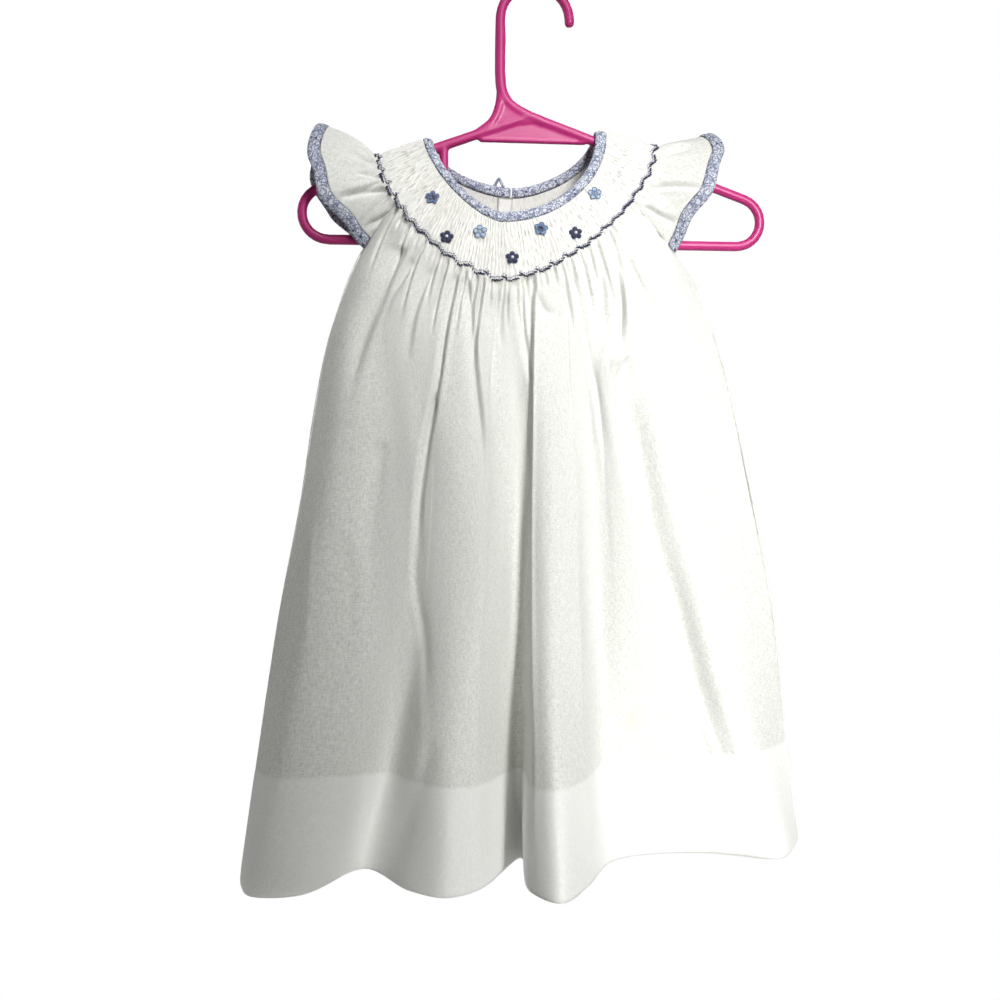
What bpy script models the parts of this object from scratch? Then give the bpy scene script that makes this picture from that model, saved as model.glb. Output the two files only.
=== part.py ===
"""A toddler's smocked bishop dress on a child's tubular hanger.

World frame in metres, +Z up, the front faces -Y, +X to the right when seen from the front.
The origin is the inside top of the hanger's hook, and the hanger lies in the plane y = 0.
Tables and helper functions below work in millimetres; mesh_object turns them into metres.
"""
import math
from collections import namedtuple

import bmesh
import bpy
import numpy as np
from mathutils import Vector

MM = 0.001

# ---------------------------------------------------------------- driving sizes (mm)
SEAM_GAP = 0.3            # between two pieces at a seam
CLOTH = 1.4               # wall of one layer of cotton
HEM_CLOTH = 2.2           # wall where the hem is turned up
BINDING_CLOTH = 2.0       # wall of the bias bindings
HEM_Z = -552.5            # height of the hem at x = 0
HEM_TILT = 0.02           # how much the hem rises for each mm to the right
EDGE_BOTTOM_Z = -560.0    # the side seams' curves are worked out down to here
SEAM_TOP_Z = -172.0       # top of the side seams, just under the hanger's bar
RAGLAN = 0.66             # share of a front or back quarter that belongs to the body panel
PLEATS_PER_QUARTER = 44   # smocked pleats between a shoulder and the centre line
PLEAT_HEIGHT = 0.8
GATHER_HEIGHT = 1.1
GATHER_START = 6.0        # how far below the yoke the gathers reach their full height
GATHER_FADE = 32.0        # how far below the yoke the gathers die away
RAGLAN_BOW = 1.6          # how far a raglan seam bows out of its straight line
RAGLAN_BOW_WAY = (0.3, 0.5, 0.8)      # sideways, away from the hanger, up
SLEEVE_END = 0.88         # share of the raglan seam where the sleeve's free edge starts
MITRE_LIMIT = 0.6         # no mitre is longer than 1 / this
SIDE_REACH = 0.72         # from this share outwards the skirt turns towards its side seam
SLEEVE_BINDING_WIDTH = 7.6
HEM_DOWN = 0.84           # share of the skirt's length where the turned hem starts
RAGLAN_DOWN = 0.06        # share of the skirt's length beside the raglan seams
COLUMN_PITCH = 12.5       # width of a skirt facet at the hem

# Rings round the neck. Each has a left and a right shoulder point, the lowest point in front
# and behind, the roundness of both U shapes, and the radius with which it bends over the rail.
Ring = namedtuple(
    "Ring",
    "left_x left_z right_x right_z front_x front_y front_z front_round "
    "back_x back_y back_z back_round arch")
NECK_EDGE = Ring(-65.5, -99.0, 38.0, -90.9, -16.0, -26.0, -147.0, 2.05,
                 -13.0, 20.0, -122.0, 2.2, 5.5)
NECK_SEAM = Ring(-71.0, -98.2, 44.5, -90.9, -16.0, -27.0, -153.0, 2.0,
                 -13.0, 21.0, -128.0, 2.1, 6.5)
YOKE_EDGE = Ring(-101.8, -109.7, 78.4, -99.0, -17.0, -36.0, -191.0, 1.62,
                 -15.0, 30.0, -166.0, 1.75, 9.0)

# Side seams: height, and x of the left and the right seam.
SIDES = [
    (-172.0, -112.3, 95.0),
    (-185.0, -118.0, 104.0),
    (-205.0, -125.0, 112.0),
    (-230.0, -132.5, 120.3),
    (-270.0, -140.2, 130.5),
    (-330.0, -149.3, 143.5),
    (-400.0, -161.8, 156.3),
    (-470.0, -172.0, 163.8),
    (-551.0, -182.7, 174.0),
]

# Folds of the skirt at three heights. share: place on the yoke's edge from the left raglan
# seam (-1) to the right one (1); x and y at each height.
Fold = namedtuple("Fold", "name share x_270 y_270 x_400 y_400 x_551 y_551")
LEVELS = (-270.0, -400.0, -551.0)
FRONT_FOLDS = [
    Fold("side_left", -1.00, -140.2, 0, -161.8, -13, -182.7, -39),
    Fold("left_lobe_start", -0.93, -124.0, -21, -143.0, -40, -173.0, -68),
    Fold("left_lobe_end", -0.80, -96.4, -29, -104.0, -44, -147.0, -71),
    Fold("left_valley", -0.44, -70.0, -28, -79.0, -22, -109.0, -21),
    Fold("second_lobe_start", -0.36, -62.0, -34, -67.0, -46, -82.0, -73),
    Fold("second_lobe_crest", -0.24, -49.0, -39, -54.0, -54, -63.0, -90),
    Fold("second_lobe_end", -0.12, -36.6, -39, -40.6, -51, -44.0, -76),
    Fold("middle_valley", 0.00, -16.5, -23, -17.0, -12, -15.0, 4),
    Fold("middle_lobe_start", 0.06, -7.4, -41, -9.2, -58, -14.0, -86),
    Fold("middle_lobe_crest", 0.14, 3.1, -46, 1.5, -70, 0.0, -111),
    Fold("middle_lobe_end", 0.28, 15.4, -42, 19.0, -56, 20.0, -82),
    Fold("right_dip", 0.50, 29.5, -37, 35.0, -36, 46.0, -29),
    Fold("right_panel_start", 0.58, 36.5, -40, 48.0, -41, 68.0, -20),
    Fold("right_panel_end", 0.66, 43.0, -41, 68.0, -43, 104.0, -23),
    Fold("right_valley", 0.76, 54.5, -34, 84.0, -34, 122.0, -32),
    Fold("right_lobe", 0.87, 75.0, -35, 103.0, -40, 147.0, -44),
    Fold("side_right", 1.00, 130.5, 0, 156.3, 0, 174.0, 0),
]
BACK_FOLDS = [
    Fold("side_left", -1.00, -140.2, 0, -161.8, -13, -182.7, -39),
    Fold("wave_1", -0.88, -122.0, 24, -143.0, 26, -164.0, 22),
    Fold("dip_1", -0.74, -102.0, 22, -122.0, 18, -140.0, 14),
    Fold("wave_2", -0.60, -84.0, 33, -98.0, 47, -112.0, 62),
    Fold("dip_2", -0.46, -68.0, 30, -78.0, 35, -88.0, 38),
    Fold("wave_3", -0.31, -48.0, 39, -53.0, 56, -60.0, 76),
    Fold("dip_3", -0.18, -34.0, 33, -36.0, 39, -40.0, 46),
    Fold("centre_seam", 0.00, -12.0, 39, -9.0, 52, -7.0, 68),
    Fold("dip_4", 0.15, 6.0, 34, 10.0, 40, 14.0, 44),
    Fold("wave_4", 0.29, 24.0, 40, 31.0, 57, 38.0, 78),
    Fold("dip_5", 0.43, 42.0, 31, 51.0, 38, 60.0, 42),
    Fold("wave_5", 0.58, 62.0, 36, 74.0, 50, 86.0, 66),
    Fold("dip_6", 0.72, 80.0, 25, 95.0, 28, 108.0, 34),
    Fold("wave_6", 0.87, 104.0, 26, 122.0, 38, 138.0, 50),
    Fold("side_right", 1.00, 130.5, 0, 156.3, 0, 174.0, 0),
]

# Free edges of the sleeves from the front underarm over the shoulder to the back underarm.
EdgePoint = namedtuple("EdgePoint", "share x y z")
SLEEVE_EDGES = {-1: [
    EdgePoint(0.13, -120.6, -11.0, -157.0),
    EdgePoint(0.27, -136.2, -23.0, -139.0),
    EdgePoint(0.40, -143.4, -19.0, -116.0),
    EdgePoint(0.50, -138.1, 0.0, -90.6),
    EdgePoint(0.60, -143.0, 19.0, -112.0),
    EdgePoint(0.73, -138.0, 25.0, -134.0),
    EdgePoint(0.87, -123.0, 13.0, -152.0),
], 1: [
    EdgePoint(0.13, 98.0, -14.0, -151.0),
    EdgePoint(0.27, 110.0, -25.0, -129.0),
    EdgePoint(0.40, 119.4, -17.0, -105.0),
    EdgePoint(0.50, 115.5, 0.0, -89.5),
    EdgePoint(0.60, 119.0, 18.0, -104.0),
    EdgePoint(0.73, 112.0, 24.0, -128.0),
    EdgePoint(0.87, 100.0, 14.0, -150.0),
]}
SLEEVE_CROWN = {-1: 4.5, 1: 0.5}      # how far the sleeve's top bows up
SLEEVE_FLUTES = 5
SLEEVE_FLUTE_HEIGHT = 1.6

# Hanger: corners of the tube's centreline as x, z and the radius of each bend
TUBE_RADIUS = 3.3
STEM_RADIUS = 3.6
STRUT_RADIUS = 3.0
TUBE_SIDES = 12
HOOK_RADIUS = 22.3
HOOK_TIP_ANGLE = -3.0     # degrees, where the hook's free end stops
OUTLINE = [
    (-3.5, -81.0, 6.0),
    (-226.0, -162.8, 16.7),
    (223.2, -161.4, 15.8),
]
STEM_ROUTE = [(-22.3, -30.0), (-22.3, -58.0), (-21.0, -66.0), (-16.5, -73.5), (-7.0, -79.5), (6.0, -84.6)]
BRACE_ROUTE = [(-21.6, -64.0), (-22.6, -74.0), (-27.0, -85.0), (-37.0, -93.2)]
STRUT_X = 58.5
STRUT_TOP = -102.5
WEB = [(-24.0, -84.0), (-21.0, -72.0), (-12.0, -77.0), (0.0, -83.0), (32.5, -96.6), (-35.5, -96.6)]
WEB_HALF = 1.5            # half the web's thickness
LIP_RADIUS = 2.0          # the web's rounded lower edge

BUTTON_RADIUS = 4.6
BUTTON_THICKNESS = 2.0
LOOP_CORD = 1.4
LOOP_HEIGHT = 4.5
LOOP_STAND = 0.45         # between the loop's feet and the binding's edge
LOOP_TURNS = (-1.93, -1.83)
PLACKET_WIDTH = 9.0
PLACKET_CLOTH = 1.2
PLACKET_GAP = 0.55

RING_OUTWARD = -1         # sign that turns the normals of the neck rings to the outside

# Colours
WHITE_COTTON = (0.86, 0.86, 0.82)
PAISLEY_COTTON = (0.52, 0.56, 0.68)
PINK_PLASTIC = (0.58, 0.045, 0.20)
PEARL = (0.85, 0.84, 0.80)


# ---------------------------------------------------------------- curves and interpolation
def smooth(knots, values, at):
    """Monotone cubic through (knots, values) along axis 0; at holds one place per column."""
    knots, values, at = (np.asarray(a, float) for a in (knots, values, at))
    step = np.diff(knots, axis=0)
    slope = np.diff(values, axis=0) / step
    tangent = np.empty_like(values)
    tangent[0], tangent[-1] = slope[0], slope[-1]
    same_way = slope[:-1] * slope[1:] > 0
    total = np.where(same_way, slope[:-1] + slope[1:], 1.0)
    tangent[1:-1] = np.where(same_way, 2 * slope[:-1] * slope[1:] / total, 0.0)
    result = np.array(values[0], float) + 0 * at
    for k in range(len(knots) - 1):
        inside = (at >= knots[k]) if step.flat[0] > 0 else (at <= knots[k])
        t = (at - knots[k]) / step[k]
        t = np.clip(t, 0, 1)
        piece = ((2 * t**3 - 3 * t**2 + 1) * values[k] + (t**3 - 2 * t**2 + t) * step[k] * tangent[k]
                 + (3 * t**2 - 2 * t**3) * values[k + 1] + (t**3 - t**2) * step[k] * tangent[k + 1])
        result = np.where(inside, piece, result)
    return result


def rounded(points, places):
    """Centripetal Catmull-Rom spline through points, read at fractional point numbers."""
    points = np.asarray(points, float)
    before, after = 2 * points[0] - points[1], 2 * points[-1] - points[-2]
    points = np.vstack([before, points, after])
    out = []
    for place in places:
        k = min(max(int(place), 0), len(points) - 4)
        p = points[k:k + 4]
        t = np.concatenate([[0], np.cumsum(np.sqrt(np.linalg.norm(np.diff(p, axis=0), axis=1)) + 1e-9)])
        s = t[1] + (place - k) * (t[2] - t[1])
        a = [((t[i + 1] - s) * p[i] + (s - t[i]) * p[i + 1]) / (t[i + 1] - t[i]) for i in range(3)]
        b = [((t[i + 2] - s) * a[i] + (s - t[i]) * a[i + 1]) / (t[i + 2] - t[i]) for i in range(2)]
        out.append(((t[2] - s) * b[0] + (s - t[1]) * b[1]) / (t[2] - t[1]))
    return np.array(out)


def along(polyline, shares):
    """Points at the given shares of a polyline's length."""
    polyline = np.asarray(polyline, float)
    length = np.concatenate([[0], np.cumsum(np.linalg.norm(np.diff(polyline, axis=0), axis=1))])
    return np.stack([np.interp(np.asarray(shares) * length[-1], length, polyline[:, k])
                     for k in range(3)], axis=1)


# ---------------------------------------------------------------- the yoke's rings
def ring_at(way):
    """The ring at way: -1 the neck edge, 0 the neck seam, 1 the yoke's lower edge."""
    first, second, part = (NECK_EDGE, NECK_SEAM, way + 1) if way < 0 else (NECK_SEAM, YOKE_EDGE, way)
    return Ring(*(a + (b - a) * part for a, b in zip(first, second)))


def quarter(ring, side, face):
    """Polyline of a quarter of a ring, from its lowest point to the shoulder."""
    shoulder_x, shoulder_z = (ring.left_x, ring.left_z) if side < 0 else (ring.right_x, ring.right_z)
    if face < 0:
        low_x, low_y, low_z, roundness = ring.front_x, ring.front_y, ring.front_z, ring.front_round
    else:
        low_x, low_y, low_z, roundness = ring.back_x, ring.back_y, ring.back_z, ring.back_round
    turn = np.concatenate([np.linspace(0, 1.35, 40), math.pi / 2 - 0.22 * np.linspace(1, 0, 40)**2.2])
    x = low_x + (shoulder_x - low_x) * np.sin(turn) ** (2 / roundness)
    fall = (shoulder_z - low_z) * np.maximum(np.cos(turn), 0) ** (2 / roundness)
    arch = ring.arch
    bend = np.sqrt(np.maximum(arch**2 - np.maximum(arch - fall, 0)**2, 0))
    spread = np.maximum(fall - arch, 0) / (shoulder_z - low_z - arch)
    y = face * (bend + (abs(low_y) - arch) * spread**0.8)
    return np.stack([x, y, shoulder_z - fall], axis=1)


def ring_points(way, turns):
    """Points of one ring. turns: 0 front centre, -1/1 left/right shoulder, -2/2 back centre."""
    ring = ring_at(way)
    turns = np.asarray(turns, float)
    points = np.zeros((len(turns), 3))
    for side in (-1, 1):
        for face in (-1, 1):
            share = np.abs(turns) if face < 0 else 2 - np.abs(turns)
            mine = (np.where(turns < 0, -1, 1) == side) & ((np.abs(turns) <= 1) == (face < 0))
            if mine.any():
                points[mine] = along(quarter(ring, side, face), share[mine])
    return points


def raglan_points(side, face, shares):
    """Points on a raglan seam, from the yoke's edge (0) to the top of the side seam (1)."""
    shares = np.atleast_1d(shares)[:, None]
    start = ring_points(1, [side * (RAGLAN if face < 0 else 2 - RAGLAN)])
    end = np.array([SIDES[0][1 if side < 0 else 2], 0.0, SEAM_TOP_Z])
    bow = RAGLAN_BOW * np.sin(math.pi * shares)
    return start + (end - start) * shares + bow * RAGLAN_BOW_WAY * np.array([side, face, 1])


# ---------------------------------------------------------------- the skirt's surface
def body_edge(side, face):
    """The raglan seam and the side seam below it, as rows of x, y, z from top to bottom."""
    raglan = raglan_points(side, face, np.linspace(0, 1, 9))
    rows = np.array(SIDES)
    heights = np.linspace(SEAM_TOP_Z, EDGE_BOTTOM_Z, 60)[1:]
    x = smooth(rows[:, :1] + 0 * heights, rows[:, 1 if side < 0 else 2][:, None] + 0 * heights, heights)
    end = FRONT_FOLDS[0 if side < 0 else -1]
    knots = np.array([SEAM_TOP_Z, *LEVELS])[:, None] + 0 * heights
    y = smooth(knots, np.array([0.0, end.y_270, end.y_400, end.y_551])[:, None] + 0 * heights, heights)
    seam = np.stack([x, y, heights], axis=1)
    return np.vstack([raglan, seam])


BODY_EDGES = {(side, face): body_edge(side, face) for side in (-1, 1) for face in (-1, 1)}


def edge_at(side, face, z, axis):
    """Coordinate (axis 0: x, 1: y) of a body panel's side edge at the heights z."""
    edge = BODY_EDGES[side, face]
    return np.interp(-z, -edge[:, 2], edge[:, axis])


def gathers(shares, below):
    """Small uneven folds that leave the smocking and fade out below it (below in mm)."""
    wave = np.sin(shares * 44 + 1.2 * np.sin(shares * 7)) * (0.75 + 0.25 * np.sin(shares * 13 + 1))
    return GATHER_HEIGHT * wave * np.exp(-below / GATHER_FADE) * np.clip(below / GATHER_START, 0, 1)


def row_heights(shares, top, hem, down):
    """Heights of a row: level with the other panel's row at the side seams, and in the middle
    at one share of the skirt's length."""
    plain = top + (hem - top) * down
    if down < RAGLAN_DOWN:
        beside = top + (SEAM_TOP_Z - top) * down / RAGLAN_DOWN
    else:
        beside = SEAM_TOP_Z + (hem - SEAM_TOP_Z) * (down - RAGLAN_DOWN) / (1 - RAGLAN_DOWN)
    near = np.clip((np.abs(shares) - 0.6) / 0.4, 0, 1)
    return plain + (beside - plain) * near**2 * (3 - 2 * near)


def skirt_points(folds, face, places, down):
    """Points of the skirt at fractional fold numbers; down: 0 the yoke's edge, 1 the hem."""
    shares = np.interp(places, np.arange(len(folds)), [fold.share for fold in folds])
    top = ring_points(1, body_turns(face, shares))
    tables = [np.array([(fold[2 + 2 * k], fold[3 + 2 * k], 0.0) for fold in folds])
              for k in range(len(LEVELS))]
    lines = [rounded(table, places) for table in tables]
    z = row_heights(shares, top[:, 2], HEM_Z + HEM_TILT * lines[-1][:, 0], down)

    ends = [raglan_points(side, face, 0)[0] for side in (-1, 1)]
    knots = [top[:, 2]] + [np.full(len(z), level) for level in LEVELS]
    across = [(top[:, 0] - ends[0][0]) / (ends[1][0] - ends[0][0])]
    across += [(line[:, 0] - table[0, 0]) / (table[-1, 0] - table[0, 0])
               for line, table in zip(lines, tables)]
    y = smooth(knots, [top[:, 1]] + [line[:, 1] for line in lines], z)
    for end, side in ((0, -1), (-1, 1)):
        own_knots = [ends[end][2], *LEVELS]
        own_depth = [ends[end][1]] + [table[end, 1] for table in tables]
        loose = smooth(*(np.array(column)[:, None] + 0 * z for column in (own_knots, own_depth)), z)
        near = np.clip((side * shares - SIDE_REACH) / (1 - SIDE_REACH), 0, 1) ** 2
        y = y + (edge_at(side, face, z, 1) - loose) * near
    y = y + face * gathers(shares, top[:, 2] - z) * np.clip(4 * (1 - np.abs(shares)), 0, 1)
    left, right = edge_at(-1, face, z, 0), edge_at(1, face, z, 0)
    return np.stack([left + smooth(knots, across, z) * (right - left), y, z], axis=1)


def body_turns(face, shares):
    """Turn round the neck for shares of a body panel from its left (-1) to its right (1) raglan."""
    if face < 0:
        return shares * RAGLAN
    return np.where(shares < 0, -2.0, 2.0) - shares * RAGLAN


def body_surface(folds, face):
    """Surface of a body panel: places along the folds, down 0-1 the yoke and 1-2 the skirt."""
    def surface(places, down):
        places = np.asarray(places, float)
        if down <= 1:
            shares = np.interp(places, np.arange(len(folds)), [fold.share for fold in folds])
            return ring_points(down, body_turns(face, shares))
        return skirt_points(folds, face, places, down - 1)
    return surface


# ---------------------------------------------------------------- the sleeves' surface
def flare_points(side, shares, out):
    """Points of a sleeve below the yoke. share: 0 the front raglan, 1 the back one;
    out: 0 the yoke's edge, 1 the free edge."""
    ends = {face: raglan_points(side, face, SLEEVE_END)[0] for face in (-1, 1)}
    rows = SLEEVE_EDGES[side]
    table = [ends[-1]] + [np.array(row[1:]) for row in rows] + [ends[1]]
    marks = [0.0] + [row.share for row in rows] + [1.0]
    start = ring_points(1, side * (RAGLAN + shares * 2 * (1 - RAGLAN)))
    reach = rounded(table, np.interp(shares, marks, np.arange(len(marks)))) - start
    if callable(out):
        out = out(1 - SLEEVE_BINDING_WIDTH / np.linalg.norm(reach, axis=1))
    points = start + reach * out[:, None]
    points[:, 2] += SLEEVE_CROWN[side] * np.sin(math.pi * out) * np.sin(math.pi * shares)**4
    inner_part = np.clip(5 * shares, 0, 1) * np.clip(5 - 5 * shares, 0, 1)
    flute = np.sin(2 * math.pi * SLEEVE_FLUTES * shares) * inner_part
    points[:, 0] += side * SLEEVE_FLUTE_HEIGHT * flute * out
    for face, nearness in ((-1, 1 - shares / 0.12), (1, 1 - (1 - shares) / 0.12)):
        begin = raglan_points(side, face, 0)[0]
        straight = begin + (ends[face] - begin) * out[:, None]
        seam = raglan_points(side, face, SLEEVE_END * out)
        points += (seam - straight) * (np.clip(nearness, 0, 1)**2)[:, None]
    return points


def sleeve_surface(side):
    """Surface of a sleeve. down: 0-1 the yoke, 1-2 the flare, 2-3 the binding on its free edge."""
    def surface(shares, down):
        shares = np.asarray(shares, float)
        if down <= 1:
            return ring_points(down, side * (RAGLAN + shares * 2 * (1 - RAGLAN)))
        if down <= 2:
            return flare_points(side, shares, lambda bound: bound * (down - 1))
        return flare_points(side, shares, lambda bound: bound + (1 - bound) * (down - 2))
    return surface


# ---------------------------------------------------------------- walls
def normals(surface, across, down, low, high, outward):
    """Unit normals of a surface, turned to the outside by the sign outward."""
    step = (high - low) * 1e-3
    along_row = surface(np.minimum(across + step, high), down) - surface(np.maximum(across - step, low), down)
    down_row = surface(across, down + 1e-3) - surface(across, down - 1e-3)
    normal = np.cross(along_row, down_row)
    return outward * normal / np.linalg.norm(normal, axis=1)[:, None]


def bridge(bm, marks_a, row_a, marks_b, row_b):
    """Faces between two rows of vertices whose marks both rise; counts may differ."""
    a = b = 0
    while a < len(row_a) - 1 or b < len(row_b) - 1:
        next_a = marks_a[a + 1] if a < len(row_a) - 1 else math.inf
        next_b = marks_b[b + 1] if b < len(row_b) - 1 else math.inf
        if abs(next_a - next_b) < 1e-6:
            bm.faces.new((row_a[a], row_a[a + 1], row_b[b + 1], row_b[b]))
            a, b = a + 1, b + 1
        elif next_a < next_b:
            bm.faces.new((row_a[a], row_a[a + 1], row_b[b]))
            a += 1
        else:
            bm.faces.new((row_a[a], row_b[b + 1], row_b[b]))
            b += 1


def wall(name, outer, inner, material):
    """A closed wall. outer and inner are lists of rows (mark, marks, points) from top to bottom."""
    bm = bmesh.new()
    skins = []
    for rows in (outer, inner):
        skins.append([[bm.verts.new(point * MM) for point in points] for _, _, points in rows])
    for rows, verts in zip((outer, inner), skins):
        for k in range(len(rows) - 1):
            bridge(bm, rows[k][1], verts[k], rows[k + 1][1], verts[k + 1])
    for k in (0, -1):
        bridge(bm, outer[k][1], skins[0][k], inner[k][1], skins[1][k])
    for k in (0, -1):
        bridge(bm, [row[0] for row in outer], [verts[k] for verts in skins[0]],
               [row[0] for row in inner], [verts[k] for verts in skins[1]])
    return mesh_object(name, bm, material)


def mesh_object(name, bm, material):
    bmesh.ops.recalc_face_normals(bm, faces=bm.faces)
    if bm.calc_volume(signed=True) < 0:
        bmesh.ops.reverse_faces(bm, faces=bm.faces)
    mesh = bpy.data.meshes.new(name)
    bm.to_mesh(mesh)
    bm.free()
    mesh.materials.append(material)
    mesh.shade_smooth()
    mesh.set_sharp_from_angle(angle=math.radians(40))
    thing = bpy.data.objects.new(name, mesh)
    bpy.context.scene.collection.objects.link(thing)
    return thing


def trimmed(surface, columns, down, low, high):
    """columns with its two ends moved in, so that a seam gap is left on each side."""
    columns = np.array(columns, float)
    step = (high - low) * 0.01
    for index, start, way in ((0, low, 1), (-1, high, -1)):
        pair = surface(np.array([start, start + way * step]), down)
        length = np.linalg.norm(pair[1] - pair[0])
        columns[index] = start + way * step * (SEAM_GAP / 2) / length
    return columns


def unit(vector):
    return vector / np.linalg.norm(vector)


def raglan_mitre(side, face, share):
    """Shared direction of the two walls that meet at a raglan seam: the mean of their normals."""
    share = min(share, SLEEVE_END)
    folds = FRONT_FOLDS if face < 0 else BACK_FOLDS
    place = np.array([0.01 if side < 0 else len(folds) - 1.01])
    body = normals(body_surface(folds, face), place, 1.001 + RAGLAN_DOWN * share,
                   0, len(folds) - 1, face)[0]
    beside = np.array([0.01 if face < 0 else 0.99])

    def flare(shares, down):
        return flare_points(side, shares, np.full(len(shares), down))
    sleeve_normal = normals(flare, beside, 0.001 + share / SLEEVE_END, 0, 1, -side)[0]
    return unit(body + sleeve_normal)


def side_mitre(side, down):
    """Shared direction of the front and the back wall at a side seam."""
    both = []
    for folds, face in ((FRONT_FOLDS, -1), (BACK_FOLDS, 1)):
        place = 0.01 if side < 0 else len(folds) - 1.01
        surface = body_surface(folds, face)
        both.append(normals(surface, np.array([place]), down, 0, len(folds) - 1, face)[0])
    return unit(both[0] + both[1])


def mitred(own, shared):
    """Offset direction at a seam, lengthened so that the wall keeps its thickness."""
    return shared / max(own @ shared, MITRE_LIMIT)


def panel_rows(surface, outward, span, downs, columns_at, lift_at, seams=()):
    """Rows of one skin of a panel. columns_at(down) gives its columns and lift_at(columns, down)
    how far the skin stands off the surface; seams lists (end, mitre) of edges that meet others."""
    rows = []
    for down in downs:
        columns = trimmed(surface, columns_at(down), down, *span)
        points = surface(columns, down)
        normal = normals(surface, columns, down, *span, outward)
        for end, mitre in seams:
            if down >= 1:
                normal[end] = mitred(normal[end], mitre(down, points[end]))
        rows.append((down, columns, points + normal * lift_at(columns, down)[:, None]))
    return rows


def raglan_share(side, face, point):
    start = raglan_points(side, face, 0)[0]
    return float(np.clip((point[2] - start[2]) / (SEAM_TOP_Z - start[2]), 0, 1))


def body_mitre(side, face):
    def at(down, point):
        if down < 1 + RAGLAN_DOWN - 1e-6:
            return raglan_mitre(side, face, raglan_share(side, face, point))
        return side_mitre(side, down)
    return at


def sleeve_mitre(side, face):
    def at(down, point):
        return raglan_mitre(side, face, raglan_share(side, face, point))
    return at


def pleated(count):
    """Lift of a smocked skin whose columns alternate between the grooves and the pleats."""
    return PLEAT_HEIGHT * (np.arange(count) % 2)


# ---------------------------------------------------------------- the dress
# Heights of the rows of points: 0-1 the yoke, 1-2 the skirt or the flare
YOKE_DOWNS = (0.008, 0.25, 0.5, 0.75, 1.0)
FADE_DOWN = 1.02           # the pleats run out just below the yoke
SKIRT_PARTS = (0.037, SLEEVE_END * RAGLAN_DOWN, RAGLAN_DOWN, 0.11, 0.18, 0.27, 0.38, 0.51, 0.67,
               HEM_DOWN - 0.006, HEM_DOWN + 0.006, 1.0)
SKIRT_DOWNS = tuple(1 + part for part in SKIRT_PARTS)
FLARE_DOWNS = (1.22, 1.48, 1.75)
FLARE_COLUMNS = 29
NECK_COLUMNS = 73
LAST_FLARE_DOWN = 1.99
PLEAT_END_LIFT = 0.35      # the pleats' share of height beside the binding


def skirt_columns(folds, low, high):
    """Fractional fold numbers, spaced evenly along the hem between two folds."""
    places = [float(low)]
    for k in range(low, high):
        a, b = folds[k], folds[k + 1]
        chord = math.hypot(b.x_551 - a.x_551, b.y_551 - a.y_551)
        count = max(3, round(chord / COLUMN_PITCH))
        places += [k + (i + 1) / count for i in range(count)]
    return np.array(places)


def body_panel(name, folds, face, low, high, material):
    surface = body_surface(folds, face)
    index = np.arange(len(folds))
    shares = [fold.share for fold in folds]
    pleats = round((shares[high] - shares[low]) * RAGLAN * PLEATS_PER_QUARTER)
    fine = np.interp(np.linspace(shares[low], shares[high], 2 * pleats + 1), shares, index)
    plain = np.interp(np.linspace(shares[low], shares[high], round(0.75 * pleats)), shares, index)
    skirt = skirt_columns(folds, low, high)

    def outer_lift(columns, down):
        if down > FADE_DOWN:
            return np.full(len(columns), CLOTH / 2)
        fade = min(1, PLEAT_END_LIFT + 2.5 * down) if down <= 1 else 0.5
        return CLOTH / 2 + fade * pleated(len(columns))

    def inner_lift(columns, down):
        hem = down > 1 + HEM_DOWN
        return np.full(len(columns), CLOTH / 2 - HEM_CLOTH if hem else -CLOTH / 2)

    seams = [(end, body_mitre(side, face)) for end, side, limit in ((0, -1, 0), (-1, 1, len(folds) - 1))
             if (low if end == 0 else high) == limit]
    outer = panel_rows(surface, face, (low, high), YOKE_DOWNS + (FADE_DOWN,) + SKIRT_DOWNS,
                       lambda down: fine if down <= FADE_DOWN else skirt, outer_lift, seams)
    inner = panel_rows(surface, face, (low, high), YOKE_DOWNS + (FADE_DOWN,) + SKIRT_DOWNS,
                       lambda down: plain if down <= 1 else skirt, inner_lift, seams)
    return wall(name, outer, inner, material)


def sleeve(name, side, surface, material):
    pleats = round(2 * (1 - RAGLAN) * PLEATS_PER_QUARTER)
    fine, plain, flare = (np.linspace(0, 1, count)
                          for count in (2 * pleats + 1, round(0.75 * pleats), FLARE_COLUMNS))

    def outer_lift(columns, down):
        if down > 1:
            return np.full(len(columns), CLOTH / 2)
        return CLOTH / 2 + min(1, PLEAT_END_LIFT + 2.5 * down) * pleated(len(columns))

    downs = YOKE_DOWNS + FLARE_DOWNS + (LAST_FLARE_DOWN,)
    seams = [(0, sleeve_mitre(side, -1)), (-1, sleeve_mitre(side, 1))]
    outer = panel_rows(surface, -side, (0, 1), downs,
                       lambda down: fine if down <= 1 else flare, outer_lift, seams)
    inner = panel_rows(surface, -side, (0, 1), downs,
                       lambda down: plain if down <= 1 else flare,
                       lambda columns, down: np.full(len(columns), -CLOTH / 2), seams)
    return wall(name, outer, inner, material)


def binding(name, surface, outward, span, downs, count, material, seams=()):
    """A bias strip round an edge: thickest along its middle, rounded over the edge."""
    columns = np.linspace(*span, count)
    middle = sum(downs) / 2

    def lift(sign):
        def at(columns, down):
            full = 1.0 if abs(down - middle) < 0.3 * (downs[1] - downs[0]) else 0.62
            return np.full(len(columns), sign * full * BINDING_CLOTH / 2)
        return at

    rows = np.linspace(*downs, 3)
    skins = [panel_rows(surface, outward, span, rows, lambda down: columns, lift(sign), seams)
             for sign in (1, -1)]
    return wall(name, *skins, material)


def neck_surface(turns, down):
    return ring_points(down, turns)


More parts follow.
